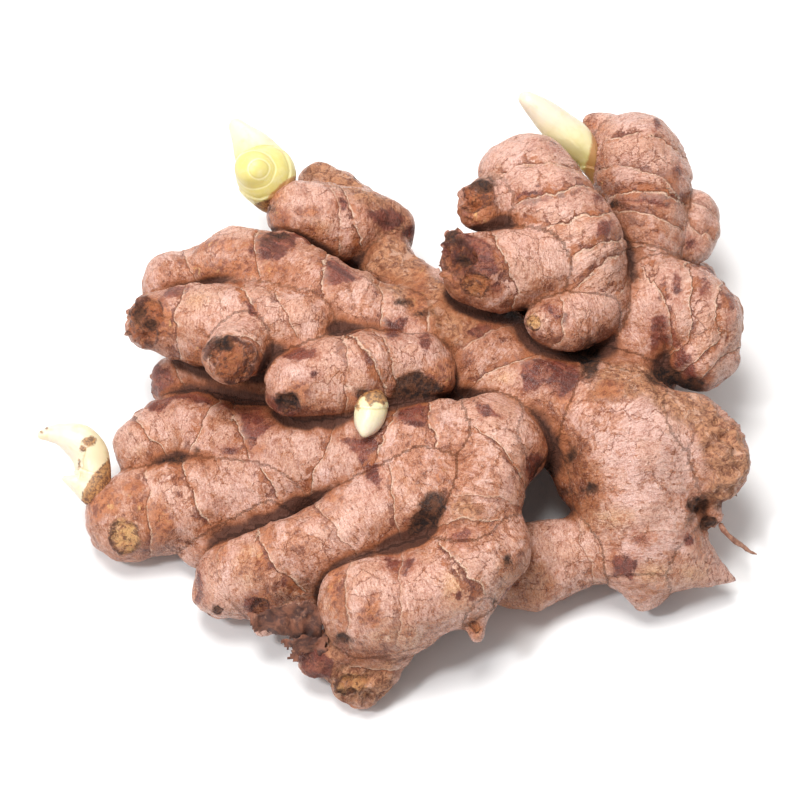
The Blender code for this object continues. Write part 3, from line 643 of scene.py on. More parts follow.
# ---------------------------------------------------------------- the rhizome
def ring_tables(names, verts, info, px, py, seen):
    """Turn the drawn rings into places along their lobes; add rings elsewhere."""
    table = {i: [] for i in range(len(names))}
    for strength, name, pts in RINGS:
        li = names.index(name)
        mine = np.flatnonzero(seen & (info["lobe"] == li))
        if len(mine) < 20:
            continue
        rows, vals = [], []
        for x, y in pts:
            d = (px[mine] - x) ** 2 + (py[mine] - y) ** 2
            k = mine[np.argsort(d)[:4]]
            if d.min() > 14 ** 2:
                continue
            rows.append([1, info["t"][k].mean(), info["w"][k].mean()])
            vals.append(info["s"][k].mean())
        if len(rows) < 2:
            continue
        A, y = np.array(rows), np.array(vals)
        reg = np.diag([0.0, 0.05, 0.6])
        mean = y.mean()
        sol = np.linalg.solve(A.T @ A + reg, A.T @ (y - mean))
        sol[0] += mean
        sol[1:] = np.clip(sol[1:], -8, 8)
        table[li].append((sol[0], sol[1], sol[2], strength))
    rng = np.random.default_rng(11)
    for li in range(len(names)):
        own = info["lobe"] == li
        if not own.any():
            continue
        lo_s, hi_s = np.percentile(info["s"][own], [1, 99])
        got = [r[0] for r in table[li]]
        s = lo_s + rng.uniform(2, 5)
        while s < hi_s - 1.5:
            if all(abs(s - g) > 5.0 for g in got):
                table[li].append((s, rng.uniform(-1.6, 1.6), rng.uniform(-1.6, 1.6), rng.uniform(-0.8, -0.35)))
                got.append(s)
            s += rng.uniform(5.5, 8.5)
    return table


def grow_rhizome():
    names = list(LOBES)
    runs = [spine(LOBES[k], 0.9) for k in names]
    blends = [BLEND.get(k, 2.2) for k in names]
    lo, hi = np.array([-84.0, -84.0, -6.0]), np.array([92.0, 84.0, 63.0])
    grid = field(runs, blends, lo, hi, STEP)
    verts, quads = surface(grid, lo, STEP)
    verts, quads = biggest(verts, quads)
    verts = relax(verts, quads, grid, lo, STEP, 3)
    # even out the sharp valleys between lobes
    fold = np.clip(0.5 - grid / (2 * STEP), 0, 1)
    fold = ramp((sample(blur(fold, max(2, round(1.6 / STEP))), lo, STEP, verts) - 0.5) * 4, 0.35, 0.8)
    fold = spread(quads, fold, 2)
    for _ in range(8):
        even = np.stack([spread(quads, verts[:, k], 1) for k in range(3)], 1)
        verts = verts + (even - verts) * fold[:, None]
    info = along(verts, names, runs)
    px, py, c = plan(verts)
    nrm = normals(verts, quads)
    seen = seen_from_above(verts, px, py, c) & ((nrm @ TOWARDS) > -0.02)

    # nearest node ring of each point: signed distance along its finger
    side = np.where(seen, 0.0, 1.0)
    hidden = ramp(spread(quads, side, 10), 0.25, 0.75)
    rings = ring_tables(names, verts, info, px, py, seen)
    ring = np.full(len(verts), 9.0)
    power = np.zeros(len(verts))
    wob = 0.55 * noise(verts, 5.0, 3) + 0.3 * noise(verts, 1.9, 4)
    for li, rows in rings.items():
        own = info["lobe"] == li
        for s0, a, b, strength in rows:
            d = info["s"][own] - (s0 + a * info["t"][own] + b * info["w"][own]) + wob[own]
            closer = np.abs(d) < np.abs(ring[own])
            ring[own] = np.where(closer, d, ring[own])
            # rings that are not drawn show fully only where no drawn ones are
            full = strength if strength > 0 else -strength * (0.22 + 0.78 * hidden[own])
            power[own] = np.where(closer, full, power[own])
    # no ring where two lobes meet, nor halfway between two rings
    lob, rv = info["lobe"][quads], ring[quads]
    cut = (lob.max(1) != lob.min(1)) | ((rv.max(1) - rv.min(1) > 2.2) & (rv.max(1) > 0) & (rv.min(1) < 0))
    power[quads[cut].ravel()] = 0.0

    # drawn marks on the side that shows, noise-made ones on the rest
    marks = {}
    auto = {"maroon": (9.0, 21, 0.50, 5.0), "rust": (7.0, 22, 0.58, 5.0), "yellow": (10.0, 23, 0.62, 5.0),
            "tan": (14.0, 24, 0.55, 6.0), "rough": (16.0, 25, 0.62, 6.0), "soil": (6.0, 26, 0.72, 4.0),
            "pale": (9.0, 27, 0.45, 4.0)}
    for key, shapes in (("maroon", MAROON), ("rust", RUST), ("yellow", YELLOW), ("tan", TAN), ("rough", ROUGH),
                        ("soil", SOIL), ("pale", PALE_AND_HIGHLIGHT)):
        d = inside_of(shapes, px, py)
        scale, seed, level, gain = auto[key]
        made = (noise(verts, scale, seed, 3) - level) * gain
        marks[key] = d * (1 - hidden) + made * hidden

    # lobe ends on the hidden side get a scar too
    tip = (info["cap"] > 0.2) & (hidden > 0.5)
    scar = np.where(tip, (0.62 - info["off"] / info["r"]) * info["r"], -9.0)
    marks["rust"] = np.maximum(marks["rust"], np.where(tip, scar, -9.0) * 0.8)
    marks["soil"] = np.maximum(marks["soil"], np.where(tip, scar - 3.2, -9.0))

    # how shut in each point is, from the grid itself
    shut = np.zeros(len(verts))
    for reach, weight in ((1.5, 0.25), (3.0, 0.35), (3.8, 0.4)):
        shut += weight * np.clip(1 - sample(grid, lo, STEP, verts + nrm * reach) / reach, 0, 1)
    # cave and deep: how far into a fold each point lies, for the painted shade of the skin look
    full = np.clip(0.5 - grid / (2 * STEP), 0, 1)
    near = blur(full, max(2, round(2.4 / STEP)))
    wide = blur(full, round(6.2 / STEP))
    cave = (sample(near, lo, STEP, verts) - 0.5) * 4
    deep = (sample(wide, lo, STEP, verts + nrm * 3) - 0.325) * 4
    # how much each point faces down the view, away from the light: the skin look browns these undersides as painted
    # shade
    under = nrm @ np.array([0, -ST, -CT])
    # darkened places, plus random darker spots on the hidden side
    darkened = ramp(inside_of(DARKENED, px, py) + 2.0 * noise(verts, 5.0, 55, 2), -3.0, 2.5) * (1 - hidden)
    darkened = darkened + 0.5 * hidden * ramp(noise(verts, 22.0, 56, 2), -0.2, 0.8)
    px1, py1, c1 = px, py, c

    # scars where old shoots and stems broke off
    scar = np.full(len(verts), -1.0)
    warm = np.zeros(len(verts))
    bowl = np.zeros(len(verts))
    wobble = 0.30 * noise(verts, 5.5, 91) + 0.13 * noise(verts, 2.4, 92, 2)
    for x, y, rx, ry, turn, depth, heat in SCARS:
        ca, sa = math.cos(math.radians(turn)), math.sin(math.radians(turn))
        dx, dy = px - x, py - y
        q = np.hypot((dx * ca + dy * sa) / rx, (-dx * sa + dy * ca) / ry) + wobble
        own = seen & (q < 2.2)
        d = 1 - q
        closer = own & (d > scar)
        scar[closer], warm[closer] = d[closer], heat
        bowl = np.where(own, bowl + depth * (0.55 * np.exp(-((q - 1.02) / 0.17) ** 2) - 1.0 * ramp(q, 1.02, 0.72)
                                             + 0.35 * ramp(q, 0.5, 0.1)), bowl)
        bowl = np.where(own & (q < 0.95), bowl + 0.16 * depth * np.sin(q * 15), bowl)
    scar = spread(quads, scar, 1)

    # ---- shape of the skin
    rough = ramp(marks["rough"], -1.5, 1.0)
    scarred = np.maximum(ramp(marks["rust"], -0.5, 0.8) * 0.6, ramp(marks["soil"], -0.5, 0.6))
    lift = 0.85 * noise(verts, 17.0, 31) + 0.60 * noise(verts, 8.5, 32) + 0.24 * noise(verts, 3.8, 33)
    fib = np.stack([info["s"] + info["lobe"] * 37.0, info["t"] * info["r"], info["w"] * info["r"]], 1)
    lift += 0.06 * noise(fib * np.array([0.22, 1.0, 1.0]), 1.6, 34) * (1 - rough)
    lift += 0.07 * noise(fib * np.array([1.0, 0.3, 0.3]), 1.7, 35)
    lift += rough * (0.46 * noise(verts, 2.2, 36, 2) + 0.45 * (0.5 - np.abs(noise(verts, 4.5, 37))) - 0.1)
    for x, y, rx, ry, high in JAGS:
        q = np.hypot((px - x) / rx, (py - y) / ry)
        w = ramp(q, 1.15, 0.6) * np.where(seen | (hidden < 0.9), 1.0, 0.0)
        rag = 1.0 - 2.2 * np.abs(noise(verts, 3.6, 57)) + 0.5 * noise(verts, 1.7, 58, 2)
        lift += high * w * rag
    lift += scarred * 0.22 * noise(verts, 1.9, 38, 2)
    # papery step at each ring: a lip on the near side, a dip past it
    torn = 0.45 + 0.55 * ramp(noise(verts, 6.0, 40), -0.5, 0.5)
    lip = np.where(ring < 0, np.exp(ring / 1.2), 0.0)
    dip = np.where(ring >= 0, np.exp(-ring / 1.6), 0.0)
    lift += power * torn * (1 - 0.5 * rough) * (0.20 * lip - 0.26 * dip) * ramp(np.abs(info["first"]), 3.5, 0.5)
    lift += 0.80 * power * (ramp(np.abs(ring), 0.2, 4.2) - 0.6)
    lift += bowl
    # soft ends: scars sink a little, stains do not
    lift -= 0.55 * ramp(marks["soil"], -0.2, 1.2)
    lift -= 0.35 * ramp(marks["rust"], 1.2, 3.0)
    # fine pits
    pit = noise(verts, 1.5, 39)
    lift -= 0.18 * ramp(pit, 0.75, 1.1)
    lift *= ramp(shut, 0.95, 0.35)
    verts = verts + nrm * lift[:, None]
    verts[:, 2] = np.maximum(verts[:, 2], 0.0)
    return {"verts": verts, "quads": quads, "info": info, "fib": fib, "ring": ring, "power": power, "marks": marks,
            "shut": shut, "hidden": hidden, "darkened": darkened, "cave": cave, "deep": deep, "under": under, "scar": scar, "warm": warm, "px": px1, "py": py1, "c": c1, "seen": seen, "nrm": nrm, "grid": grid,
            "lo": lo}


def add_mesh(name, verts, faces, smooth=True):
    """Mesh object from points in table millimetres."""
    mesh = bpy.data.meshes.new(name)
    mesh.from_pydata(((verts + SHIFT) * MM).tolist(), [], [list(map(int, f)) for f in faces])
    mesh.update()
    if smooth:
        mesh.shade_smooth()
    ob = bpy.data.objects.new(name, mesh)
    bpy.context.collection.objects.link(ob)
    return ob


def add_values(ob, name, values):
    a = ob.data.attributes.new(name, "FLOAT", "POINT")
    a.data.foreach_set("value", np.ascontiguousarray(values, dtype=np.float32))


def add_vectors(ob, name, values):
    a = ob.data.attributes.new(name, "FLOAT_VECTOR", "POINT")
    a.data.foreach_set("vector", np.ascontiguousarray(values, dtype=np.float32).ravel())

# ---------------------------------------------------------------- materials
class Graph:
    """Short hand for building one material's nodes."""

    def __init__(self, name):
        self.mat = bpy.data.materials.new(name)
        self.mat.use_nodes = True
        self.nt = self.mat.node_tree
        self.bsdf = self.nt.nodes["Principled BSDF"]

    def node(self, kind, **props):
        n = self.nt.nodes.new(kind)
        for k, v in props.items():
            setattr(n, k, v)
        return n

    def put(self, socket, value):
        if hasattr(value, "is_linked"):
            self.nt.links.new(value, socket)
        elif isinstance(value, (tuple, list)) and len(value) == 3 and socket.type == "RGBA":
            socket.default_value = (*value, 1.0)
        else:
            socket.default_value = value

    def math(self, op, a, b=None, c=None, clamp=False):
        n = self.node("ShaderNodeMath", operation=op, use_clamp=clamp)
        for s, v in zip(n.inputs, (a, b, c)):
            if v is not None:
                self.put(s, v)
        return n.outputs[0]

    def add(self, *v):
        out = v[0]
        for x in v[1:]:
            out = self.math("ADD", out, x)
        return out

    def mul(self, *v):
        out = v[0]
        for x in v[1:]:
            out = self.math("MULTIPLY", out, x)
        return out

    def step(self, x, a, b, lo=0.0, hi=1.0):
        n = self.node("ShaderNodeMapRange", interpolation_type="SMOOTHSTEP", clamp=True)
        for s, v in zip(n.inputs, (x, a, b, lo, hi)):
            self.put(s, v)
        return n.outputs[0]

    def mix(self, fac, a, b, blend="MIX"):
        n = self.node("ShaderNodeMix", data_type="RGBA", blend_type=blend)
        self.put(n.inputs[0], fac)
        self.put(n.inputs[6], a)
        self.put(n.inputs[7], b)
        return n.outputs[2]

    def attr(self, name, vector=False):
        n = self.node("ShaderNodeAttribute", attribute_name=name, attribute_type="GEOMETRY")
        return n.outputs["Vector" if vector else "Fac"]

    def scaled(self, vec, by):
        n = self.node("ShaderNodeVectorMath", operation="MULTIPLY")
        self.put(n.inputs[0], vec)
        n.inputs[1].default_value = by
        return n.outputs[0]

    def place(self):
        """Position on the object in millimetres."""
        t = self.node("ShaderNodeTexCoord")
        return self.scaled(t.outputs["Object"], (1000.0, 1000.0, 1000.0))

    def noise(self, vec, size, detail=3.0, rough=0.55, bend=0.0, shift=0.0):
        n = self.node("ShaderNodeTexNoise", noise_dimensions="4D")
        self.put(n.inputs["Vector"], vec)
        n.inputs["W"].default_value = shift
        n.inputs["Scale"].default_value = 1.0 / size
        n.inputs["Detail"].default_value = detail
        n.inputs["Roughness"].default_value = rough
        n.inputs["Distortion"].default_value = bend
        return n.outputs["Fac"]

    def warp(self, vec, size, amount, shift=0.0):
        """Bend a position by noise, so that cells get torn outlines."""
        n = self.node("ShaderNodeTexNoise", noise_dimensions="4D")
        self.put(n.inputs["Vector"], vec)
        n.inputs["W"].default_value = shift
        n.inputs["Scale"].default_value = 1.0 / size
        n.inputs["Detail"].default_value = 4.0
        n.inputs["Roughness"].default_value = 0.62
        m = self.node("ShaderNodeVectorMath", operation="MULTIPLY_ADD")
        self.put(m.inputs[0], n.outputs["Color"])
        m.inputs[1].default_value = (amount, amount, amount)
        self.put(m.inputs[2], vec)
        return m.outputs[0]

    def tone(self, vec, size):
        n = self.node("ShaderNodeTexVoronoi", feature="F1")
        self.put(n.inputs["Vector"], vec)
        n.inputs["Scale"].default_value = 1.0 / size
        return n.outputs["Color"]

    def cells(self, vec, size, feature="F1"):
        n = self.node("ShaderNodeTexVoronoi", feature=feature)
        self.put(n.inputs["Vector"], vec)
        n.inputs["Scale"].default_value = 1.0 / size
        return n.outputs["Distance"]


def skin_material():
    g = Graph("ginger_skin_look")
    p = g.place()
    fib = g.attr("fib", True)
    mid = lambda v, k: g.mul(g.math("SUBTRACT", v, 0.5), k)

    big = g.noise(p, 20.0, 2.0)
    med = g.noise(p, 6.0, 4.0, 0.6, 0.6, 3.0)
    fine = g.noise(p, 1.5, 5.0, 0.68, 0.4, 7.0)
    edge = g.noise(p, 2.6, 6.0, 0.70, 0.5, 11.0)
    wrinkle = g.noise(g.scaled(fib, (1.0, 0.26, 0.26)), 0.50, 3.0, 0.62, 0.7, 13.0)
    fold = g.noise(g.scaled(fib, (1.0, 0.40, 0.40)), 2.0, 2.0, 0.6, 1.2, 17.0)
    streak = g.noise(g.scaled(fib, (0.14, 1.0, 1.0)), 1.5, 4.0, 0.62, 0.4, 19.0)
    patch = g.noise(p, 4.2, 5.0, 0.66, 1.0, 29.0)
    dust = g.noise(p, 0.62, 3.0, 0.72, 0.3, 67.0)
    grain = g.noise(p, 0.36, 2.0, 0.62, 0.0, 71.0)
    torn = g.warp(p, 4.5, 7.0, 73.0)
    flake, crack = g.tone(torn, 5.4), g.cells(torn, 5.4, "DISTANCE_TO_EDGE")

    def mark(name, wobble, a, b):
        d = g.add(g.attr(name), mid(edge, wobble), mid(med, wobble * 0.6))
        return g.step(d, a, b)

    maroon = mark("maroon", 4.0, -0.35, 0.45)
    rust = mark("rust", 6.5, -1.4, 1.3)
    yellow = mark("yellow", 4.0, -2.0, 2.5)
    tan = mark("tan", 5.0, -1.2, 1.4)
    rough = mark("rough", 5.0, -1.5, 1.5)
    soil = mark("soil", 4.5, -0.5, 1.0)
    pale = mark("pale", 3.0, -1.5, 2.0)
    shut, cave, deep, under = g.attr("shut"), g.attr("cave"), g.attr("deep"), g.attr("under")
    power, darkened = g.attr("power"), g.attr("darkened")
    # hollow: how deep in a fold each point lies; it drives the painted shade below
    hollow = g.add(cave, g.mul(deep, 0.35))

    # plain skin: pinkish tan; the pale patches add lighter skin and painted highlight on the crowns, and painted shade
    # browns the folds further down
    col = g.mix(g.step(big, 0.35, 0.65), (0.560, 0.305, 0.225), (0.650, 0.390, 0.305))
    col = g.mix(g.mul(g.step(med, 0.40, 0.66), 0.60), col, (0.730, 0.475, 0.385))
    col = g.mix(g.mul(g.step(patch, 0.50, 0.36), 0.50), col, (0.680, 0.445, 0.390))
    col = g.mix(g.mul(g.step(streak, 0.48, 0.68), 0.25), col, (0.680, 0.400, 0.260))
    col = g.mix(g.mul(g.step(streak, 0.46, 0.28), 0.22), col, (0.400, 0.180, 0.115))
    # pale patches: lighter skin and painted highlight on the crowns
    col = g.mix(g.mul(pale, 0.60), col, (0.740, 0.520, 0.470))
    col = g.mix(g.mul(yellow, 0.70), col, (0.700, 0.420, 0.210))
    tans = g.mix(g.step(fine, 0.38, 0.60), (0.360, 0.140, 0.055), (0.520, 0.250, 0.120))
    col = g.mix(g.mul(tan, 0.80), col, tans)
    # flakes of thin outer skin, and the cracks between them
    col = g.mix(g.mul(g.step(flake, 0.60, 0.64), 0.34), col, (0.760, 0.520, 0.430))
    col = g.mix(g.mul(g.step(flake, 0.40, 0.36), 0.34), col, (0.560, 0.300, 0.180))
    cracked = g.mul(g.step(crack, 0.050, 0.012), g.step(g.add(patch, mid(big, 0.5), mid(fine, 0.3), g.mul(darkened, 0.05)), 0.49, 0.57))
    col = g.mix(g.mul(cracked, 0.72), col, (0.270, 0.085, 0.038))

    # brown mottling over the skin, with painted shade that browns the undersides of the fingers and the folds
    mottle_and_shade = g.add(patch, g.mul(hollow, 0.14), g.mul(under, 0.12), mid(fine, 0.62), mid(dust, 0.22), g.mul(darkened, 0.17), -0.010)
    col = g.mix(g.mul(g.step(mottle_and_shade, 0.49, 0.60), 0.70), col, (0.430, 0.160, 0.062))
    col = g.mix(g.mul(g.step(g.add(mottle_and_shade, mid(edge, 0.30)), 0.64, 0.73), 0.76), col, (0.180, 0.050, 0.024))
    # freckles and pores
    speck = g.mul(g.step(g.cells(p, 1.9), 0.20, 0.10), g.step(g.noise(p, 7.0, 2.0, 0.5, 0.0, 23.0), 0.48, 0.60))
    col = g.mix(g.mul(speck, 0.6), col, (0.230, 0.085, 0.050))
    # fine wrinkles, dark in the grooves
    col = g.mix(g.mul(g.step(wrinkle, 0.52, 0.38), 0.64), col, (0.62, 0.45, 0.38), "MULTIPLY")
    col = g.mix(g.mul(g.step(fold, 0.46, 0.34), 0.35), col, (0.66, 0.48, 0.40), "MULTIPLY")
    col = g.mix(g.mul(g.step(fine, 0.48, 0.38), 0.30), col, (0.60, 0.41, 0.33), "MULTIPLY")
    col = g.mix(g.mul(g.step(dust, 0.50, 0.34), 0.62), col, (0.56, 0.43, 0.37), "MULTIPLY")
    col = g.mix(g.mul(g.step(dust, 0.54, 0.70), 0.30), col, (0.860, 0.650, 0.560))
    col = g.mix(g.mul(g.step(grain, 0.48, 0.34), 0.52), col, (0.58, 0.44, 0.38), "MULTIPLY")
    col = g.mix(g.mul(g.step(grain, 0.54, 0.70), 0.24), col, (0.900, 0.700, 0.610))

    # old corky skin: broken orange-tan and brown
    corky = g.mix(g.step(g.noise(p, 1.7, 6.0, 0.74, 1.2, 31.0), 0.38, 0.60), (0.150, 0.042, 0.016), (0.580, 0.290, 0.150))
    corky = g.mix(g.mul(g.step(g.noise(p, 3.2, 5.0, 0.65, 1.0, 37.0), 0.54, 0.62), 0.75), corky, (0.700, 0.450, 0.330))
    col = g.mix(g.mul(rough, 0.88), col, corky)

    # stains
    rusty = g.mix(g.step(fine, 0.40, 0.56), (0.190, 0.046, 0.018), (0.490, 0.185, 0.078))
    rusty = g.mix(g.step(g.noise(p, 2.3, 4.0, 0.6, 0.8, 41.0), 0.60, 0.72), rusty, (0.640, 0.370, 0.140))
    col = g.mix(g.mul(rust, 0.82), col, rusty)
    halo = g.step(g.add(g.attr("maroon"), mid(edge, 7.0)), -2.6, 0.4)
    col = g.mix(g.mul(halo, g.step(fine, 0.40, 0.55, 0.70, 0.25)), col, (0.330, 0.105, 0.052))
    wine = g.mix(g.step(streak, 0.34, 0.66), (0.070, 0.012, 0.009), (0.225, 0.055, 0.034))
    wine = g.mix(g.mul(g.step(g.add(patch, mid(fine, 0.5)), 0.52, 0.58), 0.50), wine, (0.380, 0.140, 0.080))
    wine = g.mix(g.mul(g.step(grain, 0.50, 0.36), 0.5), wine, (0.050, 0.012, 0.009))
    col = g.mix(g.mul(maroon, 0.92), col, wine)

    # node rings: papery edge, and darker young skin with leftovers beyond it
    tear = g.noise(p, 3.4, 4.0, 0.62, 0.6, 43.0)
    d = g.add(g.attr("ring"), mid(edge, 2.0), mid(fine, 0.9))
    here = g.step(power, 0.05, 0.90)
    near = g.mul(g.step(d, -2.6, -0.3), g.step(d, 0.08, -0.08), here)
    col = g.mix(g.mul(near, 0.32), col, (0.740, 0.490, 0.380))
    reach = g.step(g.add(tear, mid(med, 0.5)), 0.40, 0.66, 0.35, 4.4)
    past = g.mul(g.step(d, -0.02, 0.14), g.math("SUBTRACT", 1.0, g.step(g.math("DIVIDE", d, reach), 0.55, 1.0)), here)
    band = g.mix(g.step(g.noise(p, 5.0, 3.0, 0.6, 0.5, 47.0), 0.42, 0.60), (0.380, 0.130, 0.050), (0.130, 0.036, 0.024))
    band = g.mix(g.mul(g.step(fine, 0.46, 0.62), 0.5), band, (0.460, 0.200, 0.110))
    fringe = g.mul(g.step(d, -2.2, -0.1), g.step(d, 0.12, 0.0), here, g.step(g.add(patch, mid(fine, 0.3)), 0.48, 0.56))
    col = g.mix(g.mul(fringe, 0.78), col, (0.400, 0.130, 0.045))
    col = g.mix(g.mul(past, g.step(patch, 0.34, 0.50, 0.66, 0.97)), col, band)
    line = g.mul(g.step(g.math("ABSOLUTE", g.math("SUBTRACT", d, 0.12)), 0.24, 0.06), here, g.step(tear, 0.34, 0.42))
    col = g.mix(g.mul(line, 0.66), col, (0.200, 0.058, 0.026))
    broken = g.step(tear, 0.40, 0.50)
    lip = g.mul(g.step(g.math("ABSOLUTE", g.add(d, 0.14)), 0.30, 0.08), here, broken)
    col = g.mix(g.mul(lip, 0.70), col, (0.820, 0.600, 0.450))

    # broken ends
    sc = g.add(g.attr("scar"), mid(edge, 0.70), mid(fine, 0.30))
    warm = g.add(g.attr("warm"), mid(med, 0.9), mid(fine, 0.3))
    inner = g.mix(g.step(warm, 0.0, 0.55), (0.070, 0.015, 0.008), (0.360, 0.108, 0.036))
    inner = g.mix(g.step(warm, 0.50, 1.05), inner, (0.720, 0.430, 0.180))
    inner = g.mix(g.mul(g.step(fine, 0.46, 0.60), 0.60), inner, (0.420, 0.160, 0.060))
    inner = g.mix(g.mul(g.step(g.noise(p, 1.8, 5.0, 0.7, 1.0, 61.0), 0.50, 0.58), 0.80), inner, (0.062, 0.014, 0.009))
    col = g.mix(g.mul(g.step(g.add(sc, mid(patch, 0.9)), -0.15, 0.25), g.step(patch, 0.34, 0.50, 0.35, 0.92)), col, inner)
    rim = g.mul(g.step(g.math("ABSOLUTE", g.math("SUBTRACT", sc, 0.06)), 0.20, 0.04), g.step(tear, 0.42, 0.56))
    col = g.mix(g.mul(rim, 0.85), col, (0.085, 0.026, 0.016))

    # painted shade that darkens the folds and shut-in places to brown and near black, then soil
    crease = g.add(hollow, mid(med, 0.45), mid(edge, 0.55), mid(fine, 0.25), g.mul(darkened, 0.30))
    col = g.mix(g.mul(g.step(crease, 0.26, 0.80), 0.70), col, (0.350, 0.112, 0.036))
    col = g.mix(g.mul(g.step(g.add(crease, g.mul(shut, 0.5)), 0.76, 1.28), 0.92), col, (0.060, 0.018, 0.009))
    dirt = g.mix(g.step(fine, 0.40, 0.60), (0.010, 0.004, 0.003), (0.105, 0.038, 0.016))
    col = g.mix(g.mul(soil, 0.92), col, dirt)
    col = g.mix(1.0, col, (0.895, 0.832, 0.808), "MULTIPLY")
    g.put(g.bsdf.inputs["Base Color"], col)

    # finish
    r = g.add(0.13, g.mul(med, 0.18), g.mul(g.step(crease, 0.30, 0.90), 0.40), g.mul(darkened, 0.12), g.mul(rough, 0.22), g.mul(rust, 0.06), g.mul(soil, 0.32), g.mul(fine, 0.10))
    g.put(g.bsdf.inputs["Roughness"], g.math("MINIMUM", r, 0.95))
    g.bsdf.inputs["Specular IOR Level"].default_value = 0.42
    g.bsdf.inputs["Subsurface Weight"].default_value = 0.06
    g.bsdf.inputs["Subsurface Radius"].default_value = (0.0030, 0.0012, 0.0007)
    g.bsdf.inputs["Subsurface Scale"].default_value = 1.0

    # relief finer than the mesh, heights in millimetres
    h = g.add(g.mul(wrinkle, 0.46), g.mul(fold, 0.42), g.mul(fine, 0.24), g.mul(streak, 0.16), g.mul(patch, 0.24))
    h = g.add(h, g.mul(dust, 0.20), g.mul(grain, 0.07), g.mul(line, -0.15), g.mul(cracked, -0.14), g.mul(g.step(flake, 0.60, 0.64), 0.08))
    h = g.add(h, g.mul(rough, 0.90, g.noise(p, 1.3, 5.0, 0.70, 0.8, 53.0)))
    h = g.add(h, g.mul(here, 0.22, g.step(d, 0.14, -0.10)), g.mul(lip, 0.10), g.mul(speck, -0.14), g.mul(maroon, 0.08))
    h = g.add(h, g.mul(rust, 0.28, fine), g.mul(soil, 0.45, g.noise(p, 0.9, 4.0, 0.7, 0.0, 59.0)))
    h = g.add(h, g.mul(g.step(sc, 0.0, 0.2), 0.95, fine), g.mul(rim, 0.15))
    b = g.node("ShaderNodeBump")
    b.inputs["Strength"].default_value = 0.9
    b.inputs["Distance"].default_value = 0.001
    g.put(b.inputs["Height"], h)
    g.put(g.bsdf.inputs["Normal"], b.outputs[0])
    return g.mat


def shoot_material():
    g = Graph("shoot_look")
    p = g.place()
    t = g.attr("tip")              # 0 at the foot, 1 at the point
    e = g.attr("edge")             # mm to the nearest sheath edge
    foot = g.attr("foot")          # 1 where it leaves the skin
    pink = g.attr("pink")
    stain = g.attr("stain")
    med = g.noise(p, 3.0, 3.0, 0.55, 0.5)
    fine = g.noise(p, 0.8, 4.0, 0.6, 0.3, 5.0)
    col = g.mix(g.step(t, 0.02, 0.50), (0.660, 0.580, 0.190), (0.700, 0.620, 0.360))
    col = g.mix(g.step(t, 0.45, 0.95), col, (0.700, 0.605, 0.495))
    col = g.mix(g.mul(g.step(med, 0.45, 0.75), 0.40), col, (0.730, 0.655, 0.420))
    col = g.mix(g.mul(g.step(med, 0.50, 0.30), 0.35), col, (0.590, 0.510, 0.200))
    d = g.math("ABSOLUTE", g.add(e, g.mul(g.math("SUBTRACT", fine, 0.5), 0.25)))
    col = g.mix(g.mul(g.step(d, 0.32, 0.05), 0.35), col, (0.820, 0.770, 0.560))
    col = g.mix(g.mul(g.step(g.math("ABSOLUTE", g.math("SUBTRACT", e, 0.30)), 0.32, 0.05), 0.40), col, (0.500, 0.410, 0.140))
    col = g.mix(g.mul(pink, 0.7), col, (0.740, 0.330, 0.260))
    bite = g.step(g.add(foot, g.mul(g.math("SUBTRACT", g.noise(p, 1.6, 5.0, 0.65, 0.5, 9.0), 0.5), 0.9)), 0.45, 0.85)
    col = g.mix(g.mul(bite, 0.80), col, (0.400, 0.150, 0.045))
    st = g.step(g.add(stain, g.mul(g.math("SUBTRACT", g.noise(p, 1.3, 5.0, 0.65, 0.5, 15.0), 0.5), 2.2)), -0.1, 0.5)
    rust = g.mix(g.step(g.noise(p, 0.9, 4.0, 0.65, 0.5, 17.0), 0.40, 0.60), (0.100, 0.030, 0.014), (0.420, 0.190, 0.060))
    col = g.mix(g.mul(st, 0.90), col, rust)
    g.put(g.bsdf.inputs["Base Color"], col)
    g.put(g.bsdf.inputs["Roughness"], g.add(0.30, g.mul(med, 0.12), g.mul(st, 0.25)))
    g.put(g.bsdf.inputs["Subsurface Weight"], g.step(st, 0.1, 0.9, 0.30, 0.0))
    g.bsdf.inputs["Subsurface Radius"].default_value = (0.0035, 0.0027, 0.0014)
    g.bsdf.inputs["Subsurface Scale"].default_value = 1.0
    b = g.node("ShaderNodeBump")
    b.inputs["Strength"].default_value = 0.6
    b.inputs["Distance"].default_value = 0.001
    ribs = g.noise(g.scaled(g.attr("fib", True), (0.15, 1.0, 1.0)), 0.7, 2.0, 0.5, 0.2, 21.0)
    g.put(b.inputs["Height"], g.add(g.mul(ribs, 0.10), g.mul(fine, 0.05), g.mul(st, 0.12)))
    g.put(g.bsdf.inputs["Normal"], b.outputs[0])
    return g.mat


def husk_material():
    g = Graph("dry_husk_look")
    p = g.place()
    a = g.noise(p, 4.0, 5.0, 0.65, 1.0)
    b2 = g.noise(g.scaled(p, (1.0, 0.25, 1.0)), 0.9, 4.0, 0.6, 0.5, 3.0)
    col = g.mix(g.step(a, 0.38, 0.62), (0.060, 0.020, 0.013), (0.210, 0.075, 0.040))
    col = g.mix(g.mul(g.step(b2, 0.54, 0.70), 0.5), col, (0.360, 0.170, 0.100))
    g.put(g.bsdf.inputs["Base Color"], col)
    g.put(g.bsdf.inputs["Roughness"], g.add(0.60, g.mul(a, 0.2)))
    b = g.node("ShaderNodeBump")
    b.inputs["Strength"].default_value = 0.8
    b.inputs["Distance"].default_value = 0.001
    g.put(b.inputs["Height"], g.add(g.mul(b2, 0.25), g.mul(a, 0.2)))
    g.put(g.bsdf.inputs["Normal"], b.outputs[0])
    return g.mat


